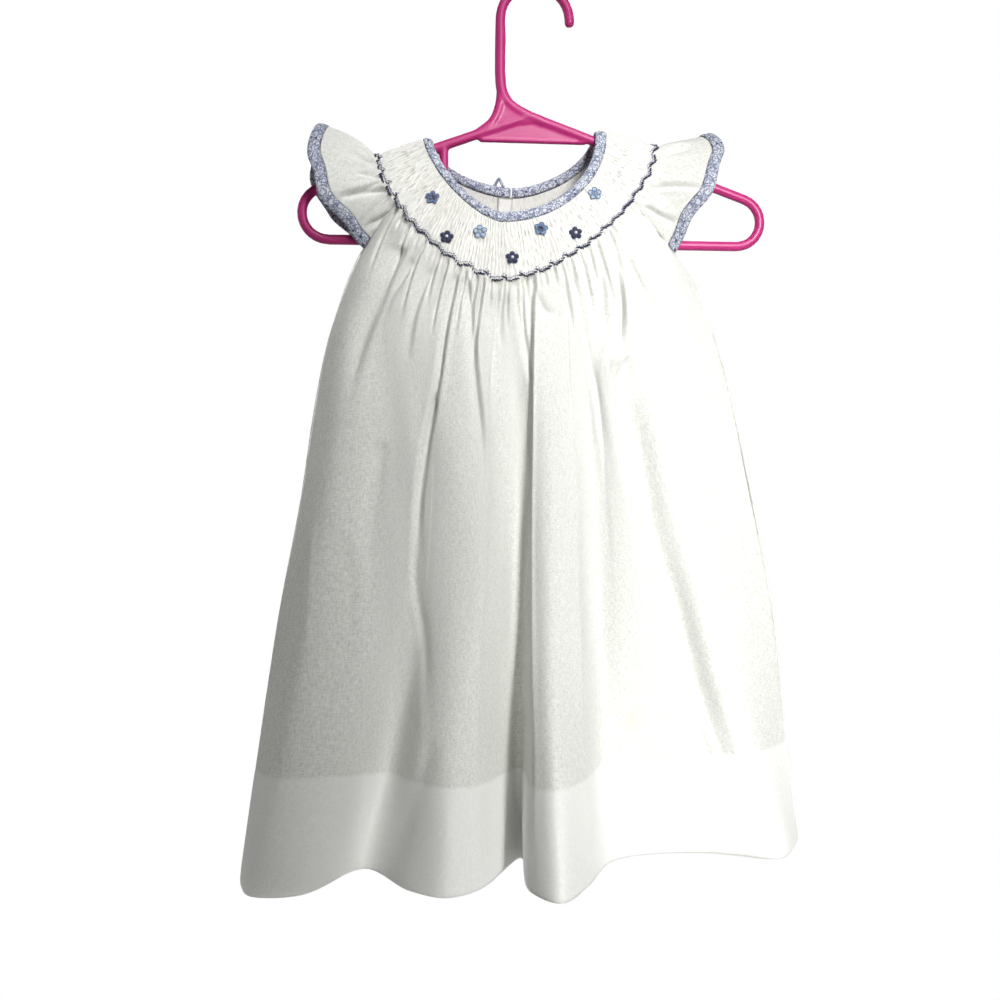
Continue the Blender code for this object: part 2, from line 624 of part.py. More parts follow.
def placket(material):
    """The strip inside the centre-back opening, laid on the plain inside of the back panels."""
    surface = body_surface(BACK_FOLDS, 1)
    middle = [fold.name for fold in BACK_FOLDS].index("centre_seam")
    downs = (0.02, 0.3, 0.6, 0.9, 1.03, 1.08)
    lift = -(CLOTH / 2 + PLACKET_GAP + PLACKET_CLOTH / 2)

    def rows(extra):
        out = []
        for down in downs:
            step = surface(np.array([middle - 0.2, middle]), down)
            width = PLACKET_WIDTH / np.linalg.norm(step[1] - step[0]) * 0.2
            columns = middle - width * np.linspace(0.92, -0.08, 4)
            normal = normals(surface, columns, down, middle - 1, middle + 1, 1)
            out.append((down, np.linspace(0, 1, 4), surface(columns, down) + normal * (lift + extra)))
        return out
    return wall("back_placket", rows(PLACKET_CLOTH / 2), rows(-PLACKET_CLOTH / 2), material)


# ---------------------------------------------------------------- hanger
def sweep(name, route, radii, material, closed=False):
    """A tube of TUBE_SIDES sides along points in the plane y = 0."""
    route = np.asarray(route, float)
    if closed:
        heading = np.roll(route, -1, axis=0) - np.roll(route, 1, axis=0)
    else:
        heading = np.gradient(route, axis=0)
    heading /= np.linalg.norm(heading, axis=1)[:, None]
    bm = bmesh.new()
    rings = []
    for (x, z), (dx, dz), radius in zip(route, heading, radii):
        ring = []
        for k in range(TUBE_SIDES):
            angle = 2 * math.pi * (k + 0.5) / TUBE_SIDES
            off = radius * math.cos(angle)
            place = Vector((x - dz * off, radius * math.sin(angle), z + dx * off))
            ring.append(bm.verts.new(place * MM))
        rings.append(ring)
    pairs = list(zip(rings, rings[1:])) + ([(rings[-1], rings[0])] if closed else [])
    for first, second in pairs:
        for k in range(TUBE_SIDES):
            bm.faces.new((first[k], first[k - 1], second[k - 1], second[k]))
    if not closed:
        bm.faces.new(rings[0])
        bm.faces.new(list(reversed(rings[-1])))
    return mesh_object(name, bm, material)


def bend(corner_before, corner, corner_after, radius, count):
    """Points of an arc of the given radius that rounds a corner."""
    corner = np.array(corner, float)
    a, b = (np.array(other, float) - corner for other in (corner_before, corner_after))
    a, b = a / np.linalg.norm(a), b / np.linalg.norm(b)
    half = math.acos(np.clip(a @ b, -1, 1)) / 2
    middle = (a + b) / np.linalg.norm(a + b)
    centre = corner + middle * radius / math.sin(half)
    start, end = (corner + side * radius / math.tan(half) - centre for side in (a, b))
    sweep_angle = math.pi - 2 * half
    turn = math.copysign(1, start[0] * end[1] - start[1] * end[0])
    points = []
    for part in np.linspace(0, 1, count):
        angle = turn * sweep_angle * part
        points.append(centre + [start[0] * math.cos(angle) - start[1] * math.sin(angle),
                                start[0] * math.sin(angle) + start[1] * math.cos(angle)])
    return points


def rounded_start(route, radius):
    """Adds a half-round end before a route and gives the radii that go with it."""
    route = np.asarray(route, float)
    heading = (route[0] - route[1]) / np.linalg.norm(route[0] - route[1])
    angles = np.radians((75, 50, 25))
    tip = [route[0] + heading * radius * math.sin(angle) for angle in angles]
    radii = [radius * math.cos(angle) for angle in angles] + [radius] * len(route)
    return np.vstack([tip, route]), radii


def hanger(material):
    corners = [corner[:2] for corner in OUTLINE]
    loop = []
    for k, (_, _, radius) in enumerate(OUTLINE):
        loop += bend(corners[k - 1], corners[k], corners[(k + 1) % 3], radius, 4 if k == 0 else 13)
    frame = sweep("hanger", loop, [TUBE_RADIUS] * len(loop), material, closed=True)

    hook_z = TUBE_RADIUS - HOOK_RADIUS
    turns = np.radians(np.linspace(HOOK_TIP_ANGLE, 180, 20))
    hook = [(HOOK_RADIUS * math.cos(turn), hook_z + HOOK_RADIUS * math.sin(turn)) for turn in turns]
    stem = rounded([(x, z, 0) for x, z in STEM_ROUTE], np.linspace(0, len(STEM_ROUTE) - 1, 14))[:, :2]
    route, radii = rounded_start(np.vstack([hook, stem]), TUBE_RADIUS)
    radii[-len(stem):] = [STEM_RADIUS] * len(stem)
    brace = rounded([(x, z, 0) for x, z in BRACE_ROUTE], np.linspace(0, len(BRACE_ROUTE) - 1, 8))[:, :2]
    lip_z = WEB[-1][1]
    limbs = [
        sweep("limb_stem", route, radii, material),
        sweep("limb_brace", brace, [TUBE_RADIUS] * len(brace), material),
        sweep("limb_lip", [(WEB[-1][0], lip_z), (WEB[-2][0], lip_z)], [LIP_RADIUS] * 2, material),
        web(material),
    ]
    for k, x in enumerate((-STRUT_X, STRUT_X)):
        route = [(x, STRUT_TOP), (x, OUTLINE[1][1] + 0.6)]
        limbs.append(sweep(f"limb_strut_{k}", route, [STRUT_RADIUS] * 2, material))
    for limb in limbs:
        limb.hide_render = True
        limb.display_type = "WIRE"
        join = frame.modifiers.new(limb.name, "BOOLEAN")
        join.operation = "UNION"
        join.object = limb
    return frame


def web(material):
    bm = bmesh.new()
    front = [bm.verts.new((x * MM, -WEB_HALF * MM, z * MM)) for x, z in WEB]
    back = [bm.verts.new((x * MM, WEB_HALF * MM, z * MM)) for x, z in WEB]
    bm.faces.new(front)
    bm.faces.new(list(reversed(back)))
    for k in range(len(WEB)):
        bm.faces.new((front[k - 1], front[k], back[k], back[k - 1]))
    return mesh_object("limb_web", bm, material)


# ---------------------------------------------------------------- closing
def back_button(material):
    """A flat button on the outside of the back binding, right of the centre-back opening."""
    turn = np.array([1.93])
    normal = normals(neck_surface, turn, -0.3, -2, 2, RING_OUTWARD)[0]
    stand = CLOTH / 2 + PLEAT_HEIGHT + SEAM_GAP + BUTTON_THICKNESS / 2
    place = neck_surface(turn, -0.3)[0] + normal * stand
    bm = bmesh.new()
    bmesh.ops.create_cone(bm, cap_ends=True, segments=20, radius1=BUTTON_RADIUS * MM,
                          radius2=BUTTON_RADIUS * MM, depth=BUTTON_THICKNESS * MM)
    button = mesh_object("back_button", bm, material)
    button.rotation_mode = "QUATERNION"
    button.rotation_quaternion = Vector(normal).to_track_quat("Z", "Y")
    button.location = Vector(place) * MM
    return button


def button_loop(material):
    """A small thread loop that stands on the edge of the back binding, left of the opening."""
    first, last = neck_surface(np.array(LOOP_TURNS), -1)
    width = math.hypot(last[0] - first[0], last[1] - first[1])
    turns = np.linspace(0, math.pi, 11)
    route = np.stack([width / 2 * (1 - np.cos(turns)), LOOP_HEIGHT * np.sin(turns)], axis=1)
    loop = sweep("button_loop", route, [LOOP_CORD / 2] * len(route), material)
    loop.location = Vector((first[0], first[1], max(first[2], last[2]) + LOOP_STAND)) * MM
    loop.rotation_euler = (0, 0, math.atan2(last[1] - first[1], last[0] - first[0]))
    return loop


def main():
    for thing in list(bpy.data.objects):
        bpy.data.objects.remove(thing)
    cotton = plain_material("white_cotton", WHITE_COTTON, 0.85)
    print_cotton = plain_material("paisley_cotton", PAISLEY_COTTON, 0.8)
    plastic = plain_material("pink_plastic", PINK_PLASTIC, 0.28)
    pearl = plain_material("pearl", PEARL, 0.3)
    hanger(plastic)
    middle = [fold.name for fold in BACK_FOLDS].index("centre_seam")
    body_panel("front", FRONT_FOLDS, -1, 0, len(FRONT_FOLDS) - 1, cotton)
    body_panel("back_left", BACK_FOLDS, 1, 0, middle, cotton)
    body_panel("back_right", BACK_FOLDS, 1, middle, len(BACK_FOLDS) - 1, cotton)
    for side, word in ((-1, "left"), (1, "right")):
        surface = sleeve_surface(side)
        seams = [(0, sleeve_mitre(side, -1)), (-1, sleeve_mitre(side, 1))]
        sleeve(f"sleeve_{word}", side, surface, cotton)
        binding(f"sleeve_binding_{word}", surface, -side, (0, 1), (2.0, 3.0), FLARE_COLUMNS,
                print_cotton, seams)
    binding("neck_binding", neck_surface, RING_OUTWARD, (-2, 2), (-1.0, -0.03), NECK_COLUMNS,
            print_cotton)
    placket(cotton)
    back_button(pearl)
    button_loop(print_cotton)


def plain_material(name, colour, roughness):
    material = bpy.data.materials.new(name)
    material.use_nodes = True
    shader = material.node_tree.nodes["Principled BSDF"]
    shader.inputs["Base Color"].default_value = (*colour, 1)
    shader.inputs["Roughness"].default_value = roughness
    shader.inputs["Metallic"].default_value = 0
    return material


main()
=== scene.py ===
"""Looks of a toddler's smocked bishop dress on a child's hanger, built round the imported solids.

Tables and surfaces are in millimetres in the solids' own frame; mesh_piece turns them into metres.
"""
import math
from collections import namedtuple

import bmesh
import bpy
import numpy as np
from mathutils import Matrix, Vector


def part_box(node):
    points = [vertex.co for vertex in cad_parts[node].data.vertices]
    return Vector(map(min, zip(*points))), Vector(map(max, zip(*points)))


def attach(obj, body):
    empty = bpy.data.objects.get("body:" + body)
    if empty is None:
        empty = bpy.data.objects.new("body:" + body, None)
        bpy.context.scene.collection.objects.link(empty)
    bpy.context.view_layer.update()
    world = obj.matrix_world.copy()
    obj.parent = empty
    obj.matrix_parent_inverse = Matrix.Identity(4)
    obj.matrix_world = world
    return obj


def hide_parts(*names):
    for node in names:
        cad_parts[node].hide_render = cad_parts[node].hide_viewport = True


MM = 0.001
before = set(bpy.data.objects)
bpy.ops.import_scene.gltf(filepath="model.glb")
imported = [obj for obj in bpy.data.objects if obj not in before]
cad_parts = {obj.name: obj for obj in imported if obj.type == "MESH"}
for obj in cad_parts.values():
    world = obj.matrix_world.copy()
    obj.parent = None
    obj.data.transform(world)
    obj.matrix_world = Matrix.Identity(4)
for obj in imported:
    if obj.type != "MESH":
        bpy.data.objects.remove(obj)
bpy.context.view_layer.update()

# ---- the solids' own form (mm)
CLOTH = 0.9               # thickness of the shown cloth
HEM_Z = -552.5            # height of the hem at x = 0
HEM_TILT = 0.02           # how much the hem rises for each mm to the right
EDGE_BOTTOM_Z = -560.0    # the side seams' curves are worked out down to here
SEAM_TOP_Z = -172.0       # top of the side seams, just under the hanger's bar
RAGLAN = 0.66             # share of a front or back quarter that belongs to the body panel
RAGLAN_BOW = 1.6          # how far a raglan seam bows out of its straight line
RAGLAN_BOW_WAY = (0.3, 0.5, 0.8)      # sideways, away from the hanger, up
SLEEVE_END = 0.88         # share of the raglan seam where the sleeve's free edge starts
SIDE_REACH = 0.72         # from this share outwards the skirt turns towards its side seam
SLEEVE_BINDING_WIDTH = 7.6
HEM_DOWN = 0.84           # share of the skirt's length where the turned hem starts
RAGLAN_DOWN = 0.06        # share of the skirt's length beside the raglan seams
LEVEL_REACH = 0.6         # from this share outwards the rows bend to the side seams' heights
SETTLE = 46.0             # below the yoke the gathers fan out over this height
LEFT_ROUND = (1.933, -0.222)          # the left front's roundness: first + second * the right's


def table(kind, rows):
    """A list of named tuples from plain rows."""
    return [kind(*row) for row in rows]


Ring = namedtuple(
    "Ring",
    "left_x left_z right_x right_z front_x front_y front_z front_round "
    "back_x back_y back_z back_round arch")
NECK_EDGE = Ring(-65.5, -99.0, 38.0, -90.9, -24.0, -26.0, -148.0, 1.95,
                 -13.0, 20.0, -122.0, 1.75, 5.5)
NECK_SEAM = Ring(-71.0, -98.2, 44.5, -90.9, -24.0, -27.0, -154.0, 1.92,
                 -13.0, 21.0, -128.0, 1.70, 6.5)
YOKE_EDGE = Ring(-101.8, -109.7, 78.4, -99.0, -23.0, -36.0, -193.0, 1.50,
                 -15.0, 30.0, -166.0, 1.65, 9.0)

# Side seams: height, and x of the left and the right seam.
SIDES = [
    (-172.0, -112.3, 95.0),
    (-185.0, -118.0, 104.0),
    (-205.0, -125.0, 112.0),
    (-230.0, -132.5, 120.3),
    (-270.0, -140.2, 130.5),
    (-330.0, -149.3, 143.5),
    (-400.0, -161.8, 156.3),
    (-470.0, -172.0, 163.8),
    (-551.0, -182.7, 174.0),
]

# Folds of the skirt at three heights. share: place on the yoke's edge from the left raglan
# seam (-1) to the right one (1); x and y at each height.
Fold = namedtuple("Fold", "name share x_270 y_270 x_400 y_400 x_551 y_551")
LEVELS = (-270.0, -400.0, -551.0)
SIDE_LEFT = ("side_left", -1.00, -140.2, 0, -161.8, -13, -182.7, -39)
SIDE_RIGHT = ("side_right", 1.00, 130.5, 0, 156.3, 0, 174.0, 0)
FRONT_FOLDS = table(Fold, [
    SIDE_LEFT,
    ("left_lobe_start", -0.93, -124.0, -21, -143.0, -40, -173.0, -68),
    ("left_lobe_end", -0.80, -96.4, -26, -104.0, -32, -147.0, -71),
    ("left_valley", -0.44, -70.0, -33, -79.0, -34, -109.0, -21),
    ("second_lobe_start", -0.36, -62.0, -37, -67.0, -43, -82.0, -73),
    ("second_lobe_crest", -0.24, -49.0, -41, -54.0, -50, -63.0, -90),
    ("second_lobe_end", -0.12, -36.6, -41, -40.6, -50, -44.0, -78),
    ("middle_valley", 0.00, -16.5, -31, -15.0, -32, -11.0, -14),
    ("middle_lobe_start", 0.06, -7.4, -40, -9.2, -51, -14.0, -86),
    ("middle_lobe_crest", 0.14, 3.1, -43, 1.5, -60, 0.0, -111),
    ("middle_lobe_end", 0.28, 15.4, -41, 19.0, -50, 20.0, -82),
    ("right_dip", 0.50, 29.5, -37, 35.0, -36, 46.0, -29),
    ("right_panel_start", 0.58, 36.5, -40, 48.0, -41, 68.0, -20),
    ("right_panel_end", 0.66, 43.0, -41, 68.0, -43, 104.0, -23),
    ("right_valley", 0.76, 54.5, -34, 84.0, -34, 122.0, -32),
    ("right_lobe", 0.87, 75.0, -35, 103.0, -40, 147.0, -44),
    SIDE_RIGHT,
])
BACK_FOLDS = table(Fold, [
    SIDE_LEFT,
    ("wave_1", -0.88, -122.0, 24, -143.0, 26, -164.0, 22),
    ("dip_1", -0.74, -102.0, 22, -122.0, 18, -140.0, 14),
    ("wave_2", -0.60, -84.0, 33, -98.0, 47, -112.0, 62),
    ("dip_2", -0.46, -68.0, 30, -78.0, 35, -88.0, 38),
    ("wave_3", -0.31, -48.0, 39, -53.0, 56, -60.0, 76),
    ("dip_3", -0.18, -34.0, 33, -36.0, 39, -40.0, 46),
    ("centre_seam", 0.00, -12.0, 39, -9.0, 52, -7.0, 68),
    ("dip_4", 0.15, 6.0, 34, 10.0, 40, 14.0, 44),
    ("wave_4", 0.29, 24.0, 40, 31.0, 57, 38.0, 78),
    ("dip_5", 0.43, 42.0, 31, 51.0, 38, 60.0, 42),
    ("wave_5", 0.58, 62.0, 36, 74.0, 50, 86.0, 66),
    ("dip_6", 0.72, 80.0, 25, 95.0, 28, 108.0, 34),
    ("wave_6", 0.87, 104.0, 26, 122.0, 38, 138.0, 50),
    SIDE_RIGHT,
])

# Free edges of the sleeves from the front underarm over the shoulder to the back underarm.
EdgePoint = namedtuple("EdgePoint", "share x y z")
SLEEVE_EDGES = {-1: table(EdgePoint, [
    (0.13, -120.6, -11.0, -157.0),
    (0.27, -136.2, -23.0, -139.0),
    (0.40, -143.4, -19.0, -116.0),
    (0.50, -138.1, 0.0, -90.6),
    (0.60, -143.0, 19.0, -112.0),
    (0.73, -138.0, 25.0, -134.0),
    (0.87, -123.0, 13.0, -152.0),
]), 1: table(EdgePoint, [
    (0.13, 98.0, -14.0, -151.0),
    (0.27, 110.0, -25.0, -129.0),
    (0.40, 119.4, -17.0, -105.0),
    (0.50, 115.5, 0.0, -89.5),
    (0.60, 119.0, 18.0, -104.0),
    (0.73, 112.0, 24.0, -128.0),
    (0.87, 100.0, 14.0, -150.0),
])}
SLEEVE_CROWN = {-1: 4.5, 1: 0.5}      # how far a sleeve's top bows up
SLEEVE_FLUTES = 5
SLEEVE_FLUTE_HEIGHT = 1.6
RAGLAN_NEAR = 0.12        # share of a sleeve beside each raglan seam that is bent to it


# ---- curves and interpolation
def smooth(knots, values, at):
    """Monotone cubic through (knots, values) along axis 0; at holds one place per column."""
    knots, values, at = (np.asarray(a, float) for a in (knots, values, at))
    step = np.diff(knots, axis=0)
    slope = np.diff(values, axis=0) / step
    tangent = np.empty_like(values)
    tangent[0], tangent[-1] = slope[0], slope[-1]
    same_way = slope[:-1] * slope[1:] > 0
    total = np.where(same_way, slope[:-1] + slope[1:], 1.0)
    tangent[1:-1] = np.where(same_way, 2 * slope[:-1] * slope[1:] / total, 0.0)
    result = np.array(values[0], float) + 0 * at
    for k in range(len(knots) - 1):
        inside = (at >= knots[k]) if step.flat[0] > 0 else (at <= knots[k])
        t = np.clip((at - knots[k]) / step[k], 0, 1)
        piece = ((2 * t**3 - 3 * t**2 + 1) * values[k]
                 + (t**3 - 2 * t**2 + t) * step[k] * tangent[k]
                 + (3 * t**2 - 2 * t**3) * values[k + 1]
                 + (t**3 - t**2) * step[k] * tangent[k + 1])
        result = np.where(inside, piece, result)
    return result


def rounded(points, places):
    """Centripetal Catmull-Rom spline through points, read at fractional point numbers."""
    points = np.asarray(points, float)
    points = np.vstack([2 * points[0] - points[1], points, 2 * points[-1] - points[-2]])
    places = np.asarray(places, float)
    k = np.clip(places.astype(int), 0, len(points) - 4)
    p = [points[k + i] for i in range(4)]
    t = [np.zeros((len(k), 1))]
    for i in range(3):
        t.append(t[-1] + np.sqrt(np.linalg.norm(p[i + 1] - p[i], axis=1))[:, None] + 1e-9)
    s = t[1] + (places - k)[:, None] * (t[2] - t[1])
    a = [((t[i + 1] - s) * p[i] + (s - t[i]) * p[i + 1]) / (t[i + 1] - t[i]) for i in range(3)]
    b = [((t[i + 2] - s) * a[i] + (s - t[i]) * a[i + 1]) / (t[i + 2] - t[i]) for i in range(2)]
    return ((t[2] - s) * b[0] + (s - t[1]) * b[1]) / (t[2] - t[1])


def lengths(points):
    """Length from the first point of a line to each of its points; of a grid, its columns' mean."""
    steps = np.linalg.norm(np.diff(points, axis=0), axis=-1)
    return np.append(0, np.cumsum(steps if steps.ndim == 1 else steps.mean(axis=1)))


def bell(gap, width):
    """1 in the middle, falling softly to 0 on both sides."""
    return np.exp(-(gap / width)**2)


def fade(share):
    """A soft step from 0 to 1."""
    share = np.clip(share, 0, 1)
    return share * share * (3 - 2 * share)


def along(polyline, shares):
    """Points at the given shares of a polyline's length."""
    polyline = np.asarray(polyline, float)
    length = lengths(polyline)
    return np.stack([np.interp(np.asarray(shares) * length[-1], length, polyline[:, k])
                     for k in range(3)], axis=1)


# ---- the yoke's rings
def ring_at(way):
    """The ring at way: -1 the neck edge, 0 the neck seam, 1 the yoke's lower edge."""
    first, second = (NECK_EDGE, NECK_SEAM) if way < 0 else (NECK_SEAM, YOKE_EDGE)
    part = way + 1 if way < 0 else way
    return Ring(*(a + (b - a) * part for a, b in zip(first, second)))


def quarter(ring, side, face):
    """Polyline of a quarter of a ring, from its lowest point to the shoulder."""
    shoulder_x, shoulder_z = ring[:2] if side < 0 else ring[2:4]
    low_x, low_y, low_z, roundness = ring[4:8] if face < 0 else ring[8:12]
    if side < 0 and face < 0:
        roundness = LEFT_ROUND[0] + LEFT_ROUND[1] * roundness
    # The places crowd together towards the shoulder, where the arch is tight.
    turn = np.concatenate([np.linspace(0, 1.35, 40),
                           math.pi / 2 - 0.22 * np.linspace(1, 0, 40)**2.2])
    x = low_x + (shoulder_x - low_x) * np.sin(turn) ** (2 / roundness)
    fall = (shoulder_z - low_z) * np.maximum(np.cos(turn), 0) ** (2 / roundness)
    arch = ring.arch
    bend = np.sqrt(np.maximum(arch**2 - np.maximum(arch - fall, 0)**2, 0))
    spread = np.maximum(fall - arch, 0) / (shoulder_z - low_z - arch)
    y = face * (bend + (abs(low_y) - arch) * spread**0.8)
    return np.stack([x, y, shoulder_z - fall], axis=1)


def ring_points(way, turns):
    """Points of one ring. turns: 0 front centre, -1/1 left/right shoulder, -2/2 back centre."""
    ring = ring_at(way)
    turns = np.asarray(turns, float)
    points = np.zeros((len(turns), 3))
    for side in (-1, 1):
        for face in (-1, 1):
            share = np.abs(turns) if face < 0 else 2 - np.abs(turns)
            mine = (np.where(turns < 0, -1, 1) == side) & ((np.abs(turns) <= 1) == (face < 0))
            if mine.any():
                points[mine] = along(quarter(ring, side, face), share[mine])
    return points


def raglan_points(side, face, shares):
    """Points on a raglan seam, from the yoke's edge (0) to the top of the side seam (1)."""
    shares = np.atleast_1d(shares)[:, None]
    start = ring_points(1, [side * (RAGLAN if face < 0 else 2 - RAGLAN)])
    end = np.array([SIDES[0][1 if side < 0 else 2], 0.0, SEAM_TOP_Z])
    bow = RAGLAN_BOW * np.sin(math.pi * shares)
    return start + (end - start) * shares + bow * RAGLAN_BOW_WAY * np.array([side, face, 1])


# ---- the skirt's surface
def body_edge(side, face):
    """The raglan seam and the side seam below it, as rows of x, y, z from top to bottom."""
    raglan = raglan_points(side, face, np.linspace(0, 1, 9))
    rows = np.array(SIDES)
    heights = np.linspace(SEAM_TOP_Z, EDGE_BOTTOM_Z, 60)[1:]
    end = FRONT_FOLDS[0 if side < 0 else -1]

    def curve(knots, values):
        columns = (np.array(column)[:, None] + 0 * heights for column in (knots, values))
        return smooth(*columns, heights)
    x = curve(rows[:, 0], rows[:, 1 if side < 0 else 2])
    y = curve([SEAM_TOP_Z, *LEVELS], [0.0, end.y_270, end.y_400, end.y_551])
    seam = np.stack([x, y, heights], axis=1)
    return np.vstack([raglan, seam])


BODY_EDGES = {(side, face): body_edge(side, face) for side in (-1, 1) for face in (-1, 1)}


def edge_at(side, face, z, axis):
    """Coordinate (axis 0: x, 1: y) of a body panel's side edge at the heights z."""
    edge = BODY_EDGES[side, face]
    return np.interp(-z, -edge[:, 2], edge[:, axis])


def row_heights(shares, top, hem, down):
    """Heights of a row: level with the other panel's row at the side seams, and in the middle
    at one share of the skirt's length."""
    plain = top + (hem - top) * down
    if down < RAGLAN_DOWN:
        beside = top + (SEAM_TOP_Z - top) * down / RAGLAN_DOWN
    else:
        beside = SEAM_TOP_Z + (hem - SEAM_TOP_Z) * (down - RAGLAN_DOWN) / (1 - RAGLAN_DOWN)
    near = np.clip((np.abs(shares) - LEVEL_REACH) / (1 - LEVEL_REACH), 0, 1)
    return plain + (beside - plain) * near**2 * (3 - 2 * near)


def skirt_points(folds, face, places, down):
    """Points of the skirt at fractional fold numbers; down: 0 the yoke's edge, 1 the hem."""
    shares = np.interp(places, np.arange(len(folds)), [fold.share for fold in folds])
    top = ring_points(1, body_turns(face, shares))
    tables = [np.array([(fold[2 + 2 * k], fold[3 + 2 * k], 0.0) for fold in folds])
              for k in range(len(LEVELS))]
    lines = [rounded(table, places) for table in tables]
    z = row_heights(shares, top[:, 2], HEM_Z + HEM_TILT * lines[-1][:, 0], down)

    ends = [raglan_points(side, face, 0)[0] for side in (-1, 1)]
    knots = [top[:, 2]] + [np.full(len(z), level) for level in LEVELS]
    across = [(top[:, 0] - ends[0][0]) / (ends[1][0] - ends[0][0])]
    across += [(line[:, 0] - table[0, 0]) / (table[-1, 0] - table[0, 0])
               for line, table in zip(lines, tables)]
    y = smooth(knots, [top[:, 1]] + [line[:, 1] for line in lines], z)
    for end, side in ((0, -1), (-1, 1)):
        own_knots = [ends[end][2], *LEVELS]
        own_depth = [ends[end][1]] + [table[end, 1] for table in tables]
        loose = smooth(*(np.array(column)[:, None] + 0 * z for column in (own_knots, own_depth)), z)
        near = np.clip((side * shares - SIDE_REACH) / (1 - SIDE_REACH), 0, 1) ** 2
        y = y + (edge_at(side, face, z, 1) - loose) * near
    left, right = edge_at(-1, face, z, 0), edge_at(1, face, z, 0)
    x = left + smooth(knots, across, z) * (right - left)
    left, right = edge_at(-1, face, top[:, 2], 0), edge_at(1, face, top[:, 2], 0)
    jump = top[:, 0] - (left + across[0] * (right - left))
    settled = np.clip((top[:, 2] - z) / SETTLE, 0, 1)
    return np.stack([x + jump * (1 - settled)**2 * (1 + 2 * settled), y, z], axis=1)


def body_turns(face, shares):
    """Turn round the neck for shares of a body panel from its left (-1) to its right (1) raglan."""
    if face < 0:
        return shares * RAGLAN
    return np.where(shares < 0, -2.0, 2.0) - shares * RAGLAN


def body_surface(folds, face):
    """Surface of a body panel: places along the folds, down 0-1 the yoke and 1-2 the skirt."""
    def surface(places, down):
        places = np.asarray(places, float)
        if down <= 1:
            shares = np.interp(places, np.arange(len(folds)), [fold.share for fold in folds])
            return ring_points(down, body_turns(face, shares))
        return skirt_points(folds, face, places, down - 1)
    return surface


# ---- the sleeves' surface
def sleeve_turns(side, shares):
    """Turn round the neck for shares of a sleeve from its front (0) to its back (1) raglan."""
    return side * (RAGLAN + shares * 2 * (1 - RAGLAN))


def flare_points(side, shares, down):
    """Points of a sleeve below the yoke; down: 1 the yoke's edge, 2 the binding's seam, 3 the
    free edge."""
    ends = {face: raglan_points(side, face, SLEEVE_END)[0] for face in (-1, 1)}
    rows = SLEEVE_EDGES[side]
    table = [ends[-1]] + [np.array(row[1:]) for row in rows] + [ends[1]]
    marks = [0.0] + [row.share for row in rows] + [1.0]
    start = ring_points(1, sleeve_turns(side, shares))
    reach = rounded(table, np.interp(shares, marks, np.arange(len(marks)))) - start
    bound = 1 - SLEEVE_BINDING_WIDTH / np.linalg.norm(reach, axis=1)
    out = bound * (down - 1) if down <= 2 else bound + (1 - bound) * (down - 2)
    points = start + reach * out[:, None]
    points[:, 2] += SLEEVE_CROWN[side] * np.sin(math.pi * out) * np.sin(math.pi * shares)**4
    inner_part = np.clip(5 * shares, 0, 1) * np.clip(5 - 5 * shares, 0, 1)
    flute = np.sin(2 * math.pi * SLEEVE_FLUTES * shares) * inner_part
    points[:, 0] += side * SLEEVE_FLUTE_HEIGHT * flute * out
    for face, nearness in ((-1, 1 - shares / RAGLAN_NEAR), (1, 1 - (1 - shares) / RAGLAN_NEAR)):
        begin = raglan_points(side, face, 0)[0]
        straight = begin + (ends[face] - begin) * out[:, None]
        seam = raglan_points(side, face, SLEEVE_END * out)
        points += (seam - straight) * (np.clip(nearness, 0, 1)**2)[:, None]
    return points


def sleeve_surface(side):
    """Surface of a sleeve. down: 0-1 the yoke, 1-2 the flare, 2-3 the binding on its free edge."""
    def surface(shares, down):
        shares = np.asarray(shares, float)
        if down <= 1:
            return ring_points(down, sleeve_turns(side, shares))
        return flare_points(side, shares, down)
    return surface


